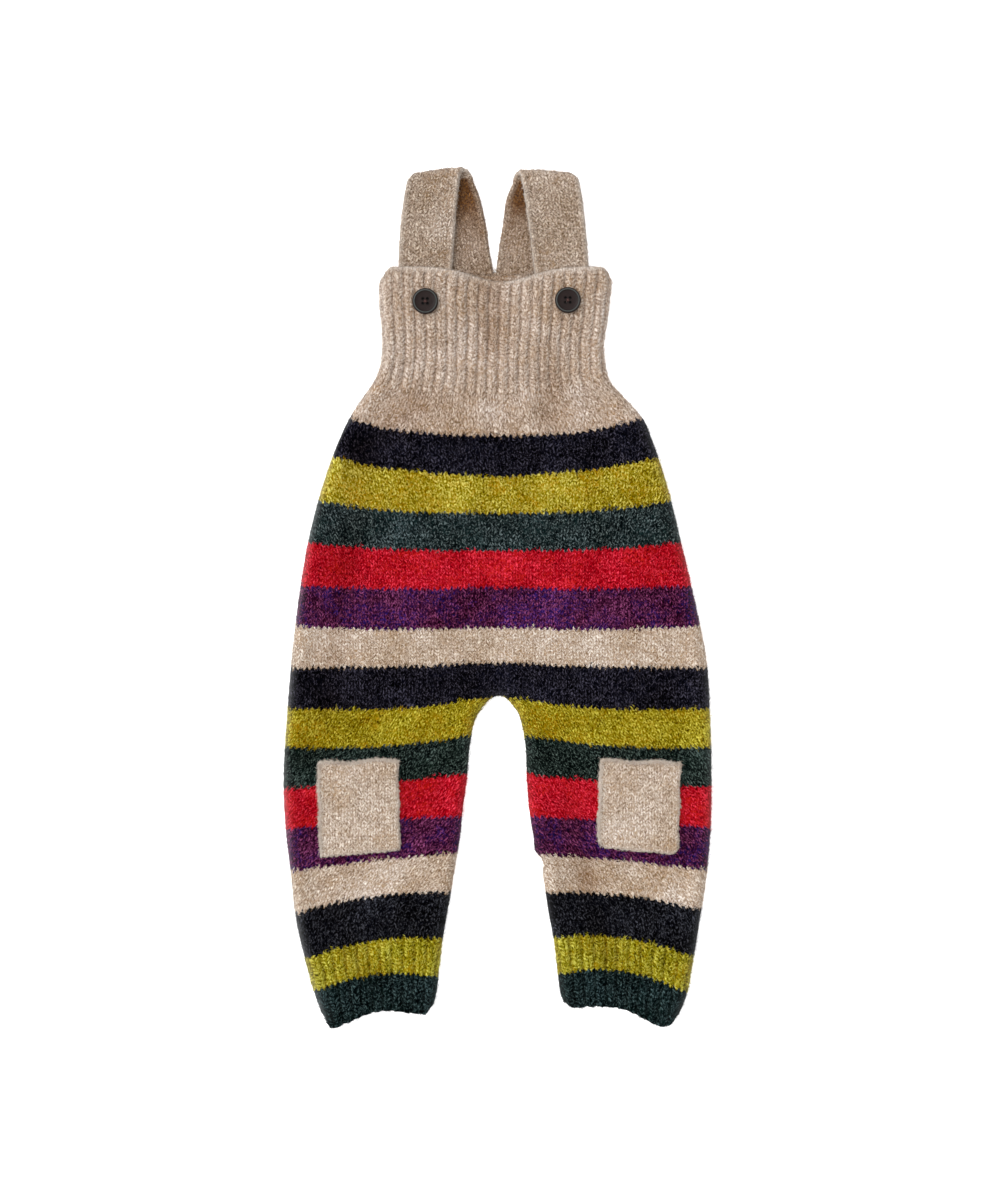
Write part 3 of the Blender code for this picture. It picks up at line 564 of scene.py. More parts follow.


# Bib and body

# painted light along an edge: how pale it paints the cloth, falling off exponentially from the edge
def edgeLightShare(place, distance):
    return garment["paintedEdgeLight"][place] * np.exp(-distance / garment["edgeLightReach"])


# the rows of a tube from its rings: ribs where they are strong, uneven felt all over, the inner face,
# and the stitch coordinates, which follow the ribs by the share given for each row
def dressRings(rings, frontCount, ribs, strength, follow, wale, row, seed, fromEnd, bead=None):
    x, y = rings[..., 0], rings[..., 1]
    isFront = np.arange(rings.shape[1]) < frontCount
    smooth = ringNormals(rings)
    inset = garment["rollRadius"] * garment["ribInset"]
    left, right = rings[:, :1, 0] + inset, rings[:, frontCount - 1:frontCount, 0] - inset
    ribPlace = (x - left) / (right - left) * ribs + feltWaves(x, y, "ribs", seed)
    crest = (0.5 - 0.5 * np.cos(2 * math.pi * ribPlace)) ** garment["ribPower"]
    ease = fade(np.abs(smooth[..., 2]), *garment["ribFacing"]) * isFront
    lift = garment["ribHeight"] * crest * strength[:, None] * ease
    lift += feltWaves(x, y, "surface", seed + 1) * ease
    if bead is not None:
        lift += bead[:, None] * isFront
    outer = rings + smooth * lift[..., None]
    outer[..., 2] = np.maximum(outer[..., 2], 0.0)
    # painted light, paler where the cloth turns down at the bib's top and at its rolled sides
    paintedEdgeLight = edgeLightShare("end", fromEnd[:, None]) + 0.0 * ribPlace
    for side in sides:
        paintedEdgeLight = np.maximum(paintedEdgeLight, edgeLightShare(side, sideDistance(x, y, [side])))
    stitch = wale * (1 - follow[:, None]) + (2 * ribPlace - ribs + 1) * follow[:, None]
    return {
        "rings": rings, "outer": outer, "inner": rings - smooth * garment["wall"],
        "normals": ringNormals(outer),
        "knit": np.stack([stitch, np.broadcast_to(row[:, None], stitch.shape)], axis=-1),
        # painted shade in the folds' troughs, less the painted light; the inner face is painted in shade
        # all over
        "hollow": garment["foldShade"] * np.maximum(-foldRelief(x, y), 0) * isFront - paintedEdgeLight,
        "ribbed": strength[:, None] * isFront * np.ones_like(stitch),
        "inside": np.ones(len(rings)),
    }


upper = {
    "bibSteps": 50, "bodySteps": [20, 16, 16, 16, 16, 16, 16, 18],
    "ribsFade": (45, 62),                   # rows between which the ribs die out
    "followFade": 80,                       # rows in which the stitches stop following them
    "bibRows": 28,                          # rows of stitches in the bib
    "bibLength": 0.082, "bodyLength": 0.226,    # of the sheets, in metres
    "topShade": 0.15, "shadeDepth": (3, 15),    # painted shade inside its top edge, and where it grows full
}


# bib and body as one tube, from the two top edges down to the crotch
def makeUpperTube():
    courses = [bibTopCourse] + [bodyCourse(row) for row in range(len(bodyCourses))]
    backCourses = [backTopCourse] + courses[1:]
    rows = rowPlaces([upper["bibSteps"]] + upper["bodySteps"])
    front, back = widePlan(courses, rows), widePlan(backCourses, rows)
    # the last row follows the crotch arch between the legs
    near = onArch(front[-1, :, 0])
    front[-1, near, 1] = archY(front[-1, near, 0])
    back[-1, near, 1] = front[-1, near, 1]
    rings = tubeRings(front, back, overArch=True)
    number = np.arange(len(rows))
    fromTop = number * (bibTop["y"] - bodyCourses[0][1]) / upper["bibSteps"]
    strength = 1 - fade(number, *upper["ribsFade"])
    strength *= fade(fromTop, 0.0, bibTop["rimDepth"])
    bead = bibTop["rimBead"] * bell(fromTop, bibTop["rimDepth"])
    row = np.array([(share - 1) * upper["bibRows"] if index == 0 else (index - 1 + share) * rowsInBand
                    for index, share in rows])
    wale = rings[..., 0] / garment["waleWidth"]
    follow = 1 - fade(number, upper["bibSteps"], upper["bibSteps"] + upper["followFade"])
    tube = dressRings(rings, front.shape[1], garment["bibRibs"], strength, follow, wale, row, 21,
                      fromTop, bead)
    # the bib's back shows over the front's dip, so its inner face is painted in full shade only further
    # down
    tube["inside"] = upper["topShade"] + (1 - upper["topShade"]) * fade(fromTop, *upper["shadeDepth"])
    return tube


# Legs and cuffs

leg = {
    "steps": [16, 15, 14, 14, 14, 15, 13, 13], "cuffFrom": 6,
    "legLength": 0.163, "cuffLength": 0.052,    # of the sheets, in metres
    "ribsFade": (-7, 5),                    # rows from the cuff's first between which its ribs rise
}


# the body's ring columns that a leg's ring carries on from
def columnsAbove(side):
    legCount = legMiddle + 2 * garment["sideSteps"] + 1
    bodyCount = 2 * legCount + archMiddle - 1
    shift = 0 if side == "left" else bodyCount - legCount
    back = np.arange(legCount - 3, 1, -2) + shift
    return np.concatenate([np.arange(legCount) + shift, bodyCount + (bodyCount - 3 - back) // 2])


# the body's last course over the share of a leg's width
def crotchCourse(side):
    column = 1 if side == "left" else 2
    outerX, innerX = lineX(sideLine, column, bodyCourses[-1][0]), innerLine[0][column]
    course = bodyCourse(-1)
    return lambda share: course(outerX + (innerX - outerX) * share)


# a leg and its cuff as one tube, from the body's last course down to the hem
def makeLegTube(side, body):
    courses = [crotchCourse(side)] + [legCourse(*row) for row in legCourses[side]] + [hemCourse(side)]
    rows = rowPlaces(leg["steps"])
    plan = legPlan(side, courses, rows)
    rings = tubeRings(plan, plan)
    number = np.arange(len(rows))
    cuffStart = sum(leg["steps"][:leg["cuffFrom"]])
    strength = fade(number - cuffStart, *leg["ribsFade"])
    centre = (plan[:, :1, 0] + plan[:, -1:, 0]) / 2
    wale = (rings[..., 0] - centre + centre[0]) / garment["waleWidth"]
    row = np.array([(index + 1 + share) * rowsInBand for index, share in rows])
    follow = fade(number, 0, cuffStart)
    tube = dressRings(rings, plan.shape[1], garment["cuffRibs"], strength, follow, wale, row, 22,
                      np.full(len(rows), np.inf))
    # the first row belongs to the body's last one, in place and in shading
    above = columnsAbove(side)
    tube["outer"][0] = body["outer"][-1, above]
    joined = np.concatenate([body["outer"][-2:-1, above], tube["outer"]])
    tube["normals"] = ringNormals(joined)[1:]
    body["normals"][-1, above] = tube["normals"][0]
    return tube, cuffStart


# Straps

# sections of each strap: outer x, y, inner x, y, height of the middle
strapFronts = {
    "left": [
        (-71.2, 187.0, -34.4, 187.0, 4.85), (-70.6, 210.0, -33.2, 210.0, 4.85),
        (-69.8, 232.0, -32.0, 232.0, 4.9), (-68.6, 256.0, -30.2, 256.0, 5.4),
        (-66.4, 275.0, -28.8, 276.0, 6.5), (-64.8, 284.0, -27.8, 285.4, 7.3),
        (-63.2, 292.2, -26.6, 293.6, 7.9),
    ],
    "right": [
        (66.3, 187.0, 29.0, 187.0, 4.85), (65.0, 210.0, 27.2, 210.0, 4.85),
        (63.6, 232.0, 25.0, 232.0, 4.9), (61.6, 256.0, 22.2, 256.0, 5.4),
        (59.4, 276.0, 19.4, 276.4, 6.5), (58.0, 284.0, 18.0, 284.6, 7.3),
        (56.6, 292.4, 16.6, 291.2, 7.9),
    ],
}
strapBacks = {
    "left": [
        (-55.6, 289.0, -17.4, 291.6, 1.51), (-50.4, 277.0, -12.8, 280.0, 1.51),
        (-46.3, 260.0, -8.4, 261.0, 1.51), (-43.4, 243.0, -6.0, 243.0, 1.51),
        (-40.0, 225.4, -2.5, 225.4, 1.7),
    ],
    "right": [
        (47.3, 291.4, 10.4, 290.0, 1.51), (43.8, 278.0, 5.9, 279.0, 1.51),
        (41.0, 261.0, 3.3, 261.0, 1.51), (38.3, 244.0, 0.6, 244.0, 1.51),
        (35.6, 225.4, -1.7, 225.4, 1.7),
    ],
}
strap = {
    "width": 37.5, "thickness": 3.0, "step": 1.3, "columns": 40, "edgeSteps": 6,
    "foldRadius": 3.2, "foldSteps": 30,
    "outerReach": 3.2, "innerReach": 6.4,       # how far the fold rolls out beyond the two ends of its line
    "crown": 1.1,                               # how far its middle stands above that line
    "selvedgePlace": 2.0, "selvedgeWidth": 1.5, "selvedgeRise": 0.5,
    "groovePlace": 4.6, "grooveWidth": 0.9, "grooveShade": 0.12,        # painted shade in a groove beside the selvedge
    "outerCorner": 9.0, "innerCorner": 1.5,     # rounding of the fold's two ends
    "mouthShade": 1.2, "mouthEdge": (2, 7), "mouthDepth": (6, 34),      # painted shade under the fold, off its inner end
    "backShade": {"left": 0.60, "right": 0.45}, "backDepth": (20, 60),  # and painted shade down the back, where it halves
    "shadeTurn": (0.78, 0.96),                  # shares of the fold's half turn where the painted shade begins
}


# sections from the end inside the bib to the fold, half a turn round it and down the back, with how far
# round the fold each is, and the fold's corners drawn in like quarter ovals. The half turn is an oval
# that reaches further at the inner end, where the fold gapes
def strapSections(side):
    front, back = np.array(strapFronts[side]), np.array(strapBacks[side])
    crest, foot = front[-1], back[0]
    upward = np.array([-(crest[3] - crest[1]), crest[2] - crest[0]])
    upward *= np.sign(upward[1]) / np.linalg.norm(upward)
    turn = np.linspace(0, math.pi, strap["foldSteps"] + 1)[1:-1, None]
    fold = (crest + foot) / 2 + (crest - foot) / 2 * np.cos(turn)
    fold[:, 0:2] += upward * strap["outerReach"] * np.sin(turn)
    fold[:, 2:4] += upward * strap["innerReach"] * np.sin(turn)
    fold[:, 4:] = (crest[4] + foot[4]) / 2 + strap["foldRadius"] * np.cos(turn)
    runs = []
    for rows in (front, back):
        places = np.arange(len(rows), dtype=float)
        reach = np.concatenate([[0], np.cumsum(np.hypot(*np.diff(rows[:, :2], axis=0).T))])
        fine = np.interp(np.linspace(0, reach[-1], int(reach[-1] / strap["step"]) + 1), reach, places)
        runs.append(np.stack([smoothLine(places, rows[:, k], fine) for k in range(5)], axis=1))
    sections = np.concatenate([runs[0], fold, runs[1]])
    turned = np.concatenate([np.zeros(len(runs[0])), turn[:, 0] / math.pi, np.ones(len(runs[1]))])
    middle = (sections[:, 0:2] + sections[:, 2:4]) / 2
    top = len(runs[0]) + len(fold) // 2
    below = np.linalg.norm(middle - middle[top], axis=1)
    inward = unit(sections[:, 2:4] - sections[:, 0:2])
    for start, radius, sign in ((0, strap["outerCorner"], 1), (2, strap["innerCorner"], -1)):
        inset = radius * (1 - np.sqrt(1 - (1 - np.minimum(below / radius, 1)) ** 2))
        sections[:, start:start + 2] += sign * inward * inset[:, None]
    return sections, turned, upward


# a band carried along its sections: a flat oval ring round each, raised at the selvedges
def makeStrap(side, material):
    sections, turned, upward = strapSections(side)
    outer, inner = sections[:, [0, 1, 4]], sections[:, [2, 3, 4]]
    across, middle = inner - outer, (outer + inner) / 2
    up = unit(np.cross(np.gradient(middle, axis=0), across))
    up *= np.sign(up[0, 2])
    half = strap["thickness"] / 2
    tip = half / strap["width"]
    turns = np.linspace(-math.pi / 2, math.pi / 2, strap["edgeSteps"] + 1)[1:-1]
    share = np.linspace(tip, 1 - tip, strap["columns"])
    reach = tip * np.cos(turns)
    ringShare = np.concatenate([share, 1 - tip + reach, share[::-1], tip - reach])
    ringRise = np.concatenate([np.ones(len(share)), -np.sin(turns), -np.ones(len(share)), np.sin(turns)])
    edge = np.minimum(ringShare, 1 - ringShare) * strap["width"]
    bead = strap["selvedgeRise"] * bell(edge - strap["selvedgePlace"], strap["selvedgeWidth"])
    walked = np.concatenate([[0.0], np.cumsum(np.linalg.norm(np.diff(middle, axis=0), axis=1))])
    walkedAll, acrossAll = np.meshgrid(walked, strap["width"] * ringShare, indexing="ij")
    lift = ringRise * (half + bead + feltWaves(walkedAll, acrossAll, "strap", 11))
    points = outer[:, None] + across[:, None] * ringShare[:, None] + up[:, None] * lift[..., None]
    crown = strap["crown"] * np.sin(math.pi * turned)[:, None] * 4 * ringShare * (1 - ringShare)
    points[..., :2] += upward * crown[..., None]
    points[..., 2] = np.maximum(points[..., 2], 0.0)
    knit = np.stack([acrossAll / garment["waleWidth"], walkedAll / garment["rowHeight"]], axis=-1)
    # painted shade in the groove by the selvedge, under the fold and down the back run, less painted light
    # at its edges
    groove = strap["grooveShade"] * bell(edge - strap["groovePlace"], strap["grooveWidth"])
    downBack = np.maximum(walked - walked[np.argmax(turned == 1)], 0.0)[:, None]
    fromInner = strap["width"] * (1 - ringShare)
    inMouth = fade(fromInner, *strap["mouthEdge"]) * (1 - fade(downBack, *strap["mouthDepth"]))
    shade = strap["backShade"][side] * (1 - 0.5 * fade(downBack, *strap["backDepth"]))
    shade = shade + (strap["mouthShade"] - shade) * inMouth
    hollow = groove - edgeLightShare("strap", edge) + shade * fade(turned, *strap["shadeTurn"])[:, None]
    piece = tubeWithCaps("strap" + side.capitalize(), points, knit, hollow, material)
    finishPiece(piece, ["strap_" + side])
    ground, normals, knit = (np.concatenate([rows, rows[:, :1]], axis=1)
                             for rows in (points, ringNormals(points), knit))
    makeFuzz(piece.name + "Fibres", ground, normals, knit, ["strap"], shade=hollow,
             slant=fuzz["strapSlant"])


# faces of a grid closed round its columns, with a fan at each end round a middle point
def cappedFaces(rows, columns):
    index = np.arange(rows * columns).reshape(rows, columns)
    beside = np.roll(index, -1, axis=1)
    first, last = np.full(columns, rows * columns), np.full(columns, rows * columns + 1)
    a, b, c, d = (corner.ravel() for corner in (index[:-1], index[1:], beside[1:], beside[:-1]))
    return np.concatenate([
        np.stack([a, b, c], axis=1), np.stack([a, c, d], axis=1),
        np.stack([index[0], beside[0], first], axis=1), np.stack([beside[-1], index[-1], last], axis=1)])


# a tube whose two ends are closed at the mean of their rings
def tubeWithCaps(name, points, knit, hollow, material):
    def withEnds(values):
        flat = values.reshape(-1, values.shape[-1])
        return np.concatenate([flat, values[0].mean(axis=0)[None], values[-1].mean(axis=0)[None]])

    shade = np.broadcast_to(hollow, points.shape[:2])[..., None]
    return clothMesh(name, withEnds(points), cappedFaces(*points.shape[:2]), withEnds(knit),
                     withEnds(shade)[:, 0], 0.0, material)


# Knee patches

# corners from the top left one clockwise
patchCorners = {
    "left": [(-125.8, -116.1), (-69.9, -113.6), (-68.3, -177.1), (-124.3, -182.4)],
    "right": [(71.8, -114.2), (127.8, -116.1), (126.1, -180.4), (69.7, -175.2)],
}
patch = {
    "width": 56.0, "length": 65.0, "thickness": 2.4, "columns": 57, "rows": 65,
    "flat": (0.057, 0.066),                 # as cut, over its ragged edges, in metres
    "rimRound": 1.6, "toothHeight": 0.8, "toothReach": 2, "raggedReach": 1.5,
    "lowerCorner": {"left": 1.5, "right": 5.0}, "cornerCut": 0.6,
    "topWave": (0.7, 1.6, 0.6, 12), "sideWave": (0.4, 2.3, 1.0, 6),     # height, turns, phase, reach
    "lift": 0.1, "rimHeight": 0.3,          # off the leg, and of the rim as a share of the thickness
    "fringe": 5.0, "fringeWidth": 1.2, "fringeSpread": 2.5,     # how many more fibres grow at its rim
    "rimLight": 0.22, "rimLightWidth": 1.6,     # and how pale painted light makes them and the cloth there
}


# a sine wave along an edge that dies away from it
def edgeWave(share, distance, height, turns, phase, reach):
    return height * np.sin(share * 2 * math.pi * turns + phase) * np.exp(-distance / reach)


# a four-cornered cloth on the leg's front, between its corners by shares: small teeth at its top and
# bottom, wavy sides, rounded lower corners, and a rim that falls off like a quarter circle
def makePatch(side, material):
    corners = [np.array(corner) for corner in patchCorners[side]]
    v, u = np.meshgrid(np.linspace(0, 1, patch["rows"]), np.linspace(0, 1, patch["columns"]),
                       indexing="ij")
    top = corners[0] * (1 - u[..., None]) + corners[1] * u[..., None]
    bottom = corners[3] * (1 - u[..., None]) + corners[2] * u[..., None]
    plan = top * (1 - v[..., None]) + bottom * v[..., None]
    x, y = plan[..., 0], plan[..., 1]
    fromTop, fromBottom = v * patch["length"], (1 - v) * patch["length"]
    fromSide = np.minimum(u, 1 - u) * patch["width"]
    tooth = patch["toothHeight"] * np.sin(x * 2 * math.pi / garment["waleWidth"])
    y += tooth / 2 * (np.exp(-fromTop / patch["toothReach"]) - np.exp(-fromBottom / patch["toothReach"]))
    y += edgeWave(u, fromTop, *patch["topWave"])
    x += edgeWave(v, fromSide, *patch["sideWave"])
    ragged = feltWaves(x, y, "patchEdge", 33)
    x += ragged * np.exp(-fromSide / patch["raggedReach"])
    y += ragged * np.exp(-np.minimum(fromTop, fromBottom) / patch["raggedReach"])
    radius = patch["lowerCorner"][side]
    cut = np.maximum(radius - fromSide, 0) * np.maximum(radius - fromBottom, 0) / radius
    toward = plan.mean(axis=(0, 1)) - plan
    plan += unit(toward) * cut[..., None] * patch["cornerCut"]
    base = clothPoints(x, y, True, np.zeros(u.shape, dtype=bool))[..., 2] + patch["lift"]
    edge = np.minimum(np.minimum(fromSide, fromTop), fromBottom)
    rim = np.sqrt(np.clip(1 - (1 - np.minimum(edge / patch["rimRound"], 1)) ** 2, 0, 1))
    topZ = base + patch["thickness"] * (patch["rimHeight"] + (1 - patch["rimHeight"]) * rim)
    face = np.stack([x, y, topZ + feltWaves(x, y, "patch", 31) * rim], axis=-1)
    under = np.stack([x, y, base], axis=-1)
    index = np.arange(u.size).reshape(u.shape)
    quads = np.stack([index[:-1, :-1], index[1:, :-1], index[1:, 1:], index[:-1, 1:]], axis=-1)
    quads = quads.reshape(-1, 4)
    border = np.concatenate([index[0, :-1], index[:-1, -1], index[-1, :0:-1], index[:0:-1, 0]])
    beside = np.roll(border, -1)
    faces = np.concatenate([quads, quads[:, ::-1] + u.size,
                            np.stack([border, beside, beside + u.size, border + u.size], axis=-1)])
    knit = np.stack([x / garment["waleWidth"], -y / garment["rowHeight"]], axis=-1)
    # painted light along the rim
    hollow = -patch["rimLight"] * np.exp(-edge / patch["rimLightWidth"])
    piece = clothMesh("kneePatch" + side.capitalize(), np.stack([face, under]), faces,
                      np.stack([knit, knit]), hollow, 0.0, material)
    finishPiece(piece, ["knee_patch_" + side])
    "leg" + side.capitalize()
    slope = unit(np.cross(np.gradient(face, axis=1), np.gradient(face, axis=0)))
    slope *= np.sign(slope[..., 2:])
    nearRim = np.exp(-edge[:-1, :-1] / patch["fringeWidth"])
    makeFuzz(piece.name + "Fibres", face, slope, knit, ["cream"], shade=hollow,
             more=1 + patch["fringe"] * nearRim, spread=fuzz["spread"] + patch["fringeSpread"] * nearRim)


# Buttons

button = {
    "radius": 9.1, "thickness": 3.0, "crest": 7.7, "dish": 0.8, "segments": 72,
    "hole": 1.1, "spacing": 3.15, "holeFloor": 0.3,     # the holes stop this far above the underside, and are painted black below as shade
    "threadRadius": 0.13, "threadGap": 0.2, "threadDip": 0.9,
    "threadLie": 0.12, "threadRise": 0.25,      # over the dish, at its holes and halfway
    "threadSteps": 14, "threadSides": 8, "threadTilt": 0.05,
    "threadReach": 0.62, "threadDive": 0.14,    # where its stitches end and dive, in shares of their places
    "threadTwist": 700.0,                       # turns of its ply, for each metre
    "holeLevel": (0.0127, 0.0131),              # heights in metres between which the holes' painted black shade turns to dish
    "rimLevel": (0.01388, 0.01402),             # and the dish to the rim's crest, painted lighter as a highlight
    "cutter": 10, "sharpAngle": 35,             # height of the cylinder that bores a hole, degrees
    "specular": 0.15, "roughness": 0.35, "scratches": 0.25,
}


# section of a button, radius and height, from the middle of its top round its rim to that of its underside
def buttonProfile():
    r, top, crest = button["radius"], button["thickness"], button["crest"]
    low = top - button["dish"]
    return np.array([
        (0.01, low - 0.06), (4.5, low), (crest - 1.0, low + 0.02), (crest - 0.6, low + 0.2),
        (crest - 0.35, top - 0.25), (crest - 0.15, top - 0.03), (crest + 0.1, top),
        (crest + 0.35, top - 0.10), (crest + 0.8, top - 0.38), (r - 0.3, top - 0.75),
        (r, top - 1.25), (r - 0.2, top - 1.8), (r - 1.0, top - 2.5), (r - 2.0, 0.05),
        (r - 2.5, 0.0), (0.01, 0.0)])


# the profile turned and bored with four blind holes, on the solid's place
def makeButton(side, material, thread):
    low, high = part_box("button_" + side)
    place = np.array([(low[0] + high[0]) / 2, (low[1] + high[1]) / 2, low[2]]) / mm + origin
    profile = buttonProfile()
    turn = np.linspace(0, 2 * math.pi, button["segments"] + 1)[:-1]
    rings = np.stack([profile[:, :1] * np.cos(turn), profile[:, :1] * np.sin(turn),
                      profile[:, 1:] + 0 * turn], axis=-1) + place
    knit = np.zeros(rings.shape[:2] + (2,))
    piece = tubeWithCaps("button" + side.capitalize(), rings, knit, 0.0, material)
    spots = [(x * button["spacing"] / 2, y * button["spacing"] / 2) for x in (-1, 1) for y in (-1, 1)]
    cutters = []
    for x, y in spots:
        middle = place + [x, y, button["cutter"] / 2 + button["holeFloor"]] - origin
        bpy.ops.mesh.primitive_cylinder_add(
            vertices=20, radius=button["hole"] * mm, depth=button["cutter"] * mm, location=middle * mm)
        cutters.append(bpy.context.object)
        bore = piece.modifiers.new("hole", "BOOLEAN")
        bore.operation, bore.solver, bore.object = "DIFFERENCE", "EXACT", cutters[-1]
    bored = bpy.data.meshes.new_from_object(piece.evaluated_get(bpy.context.evaluated_depsgraph_get()))
    piece.modifiers.clear()
    piece.data = bored
    for cutter in cutters:
        bpy.data.objects.remove(cutter)
    piece.data.set_sharp_from_angle(angle=math.radians(button["sharpAngle"]))
    finishPiece(piece, ["button_" + side])
    makeThread(side, place, spots, thread)


# two stitches between each pair of opposite holes, each a thin tube that rises like half a sine wave and
# dives into its holes at both ends
def makeThread(side, place, spots, material):
    floor = button["thickness"] - button["dish"]
    share = np.linspace(0, 1, button["threadSteps"] + 1)
    over = np.abs(share - 0.5) < 0.5 - button["threadDive"]
    rise = button["threadLie"] + button["threadRise"] * np.sin(math.pi * share)
    rise = floor + np.where(over, rise, -button["threadDip"])
    turn = np.linspace(0, 2 * math.pi, button["threadSides"] + 1)[:-1, None]
    points, faces, used = [], [], 0
    for first, second in ((spots[0], spots[3]), (spots[1], spots[2])):
        start, end = np.array(first) * button["threadReach"], np.array(second) * button["threadReach"]
        beside = unit(np.array([-(end - start)[1], (end - start)[0]]))
        for sign in (-1, 1):
            line = start + (end - start) * share[:, None] + beside * sign * button["threadGap"]
            path = np.concatenate([line, rise[:, None]], axis=1)
            run = unit(np.gradient(path, axis=0))
            sideways = unit(np.cross(run, np.append(beside * sign, button["threadTilt"])))
            other = np.cross(run, sideways)
            ring = path[:, None] + button["threadRadius"] * (
                np.cos(turn) * sideways[:, None] + np.sin(turn) * other[:, None])
            points += [ring.reshape(-1, 3), ring[:1].mean(axis=1), ring[-1:].mean(axis=1)]
            faces.append(cappedFaces(len(path), len(turn)) + used)
            used += len(path) * len(turn) + 2
    points = np.concatenate(points) + place
    piece = clothMesh("buttonThread" + side.capitalize(), points, np.concatenate(faces),
                      np.zeros((len(points), 2)), 0.0, 0.0, material)
    finishPiece(piece)


# Loose fibres

fuzz = {
    "tuftDensity": 0.38, "hairDensity": 0.16,       # on each square millimetre
    "underneath": -0.35, "side": 0.6,               # where the cloth faces up by less than this
    "backShare": 0.25, "sideShare": 2.4,            # how much of that grows there
    "tuftLength": (1.5, 3.4), "tuftWidth": (0.24, 0.54), "tuftLift": (0.10, 0.45),
    "hairLength": (1.8, 4.2), "hairWidth": (0.12, 0.22), "hairLift": (0.3, 1.5),
    "slant": 28, "strapSlant": 44,                  # of a stitch's two strands, in degrees
    "spread": 0.45,                                 # how far tufts stray from that, in radians
    "sideReach": 0.5,                               # how much longer fibres are round the sides
    "rootDepth": 0.15, "rootShare": 0.4, "rootWidth": 0.6,      # how each starts below and behind its root
    "middleSway": 0.15, "tipSway": 0.2, "tipRise": (0.2, 1.2),
    "lowest": 0.05,
    "darkShare": 0.4, "glint": 0.9,                 # how many are dark, and how bright the brightest are
    "strayShare": 0.55, "strayRange": (0.1, 1.6),   # of the other shade in clusters
    "edgeLightGain": 2.4, "edgeLightRange": (0.3, 1.0),         # how much whiter painted edge light makes them than the cloth
}


# sRGB from 0 to 255 as linear light: a straight foot, then a power of 2.4
def toLinear(colour):
    share = np.asarray(colour, dtype=float) / 255
    return np.where(share <= 0.04045, share / 12.92, ((share + 0.055) / 1.055) ** 2.4)


# stripe that a stitch belongs to, changing along one jagged tooth to a stitch, each a little different
def bandOf(wale, row, bands):
    phase = row // rowsInBand
    tooth = (np.abs(wale % 1.0 - 0.5) - 0.25) * finish["toothDepth"]
    for height, byStitch, byStripe, start in finish["toothSway"]:
        tooth += height * np.sin(wale * byStitch + phase * byStripe + start)
    return np.clip(np.floor((row + tooth) / rowsInBand), 0, len(bands) - 1).astype(int)


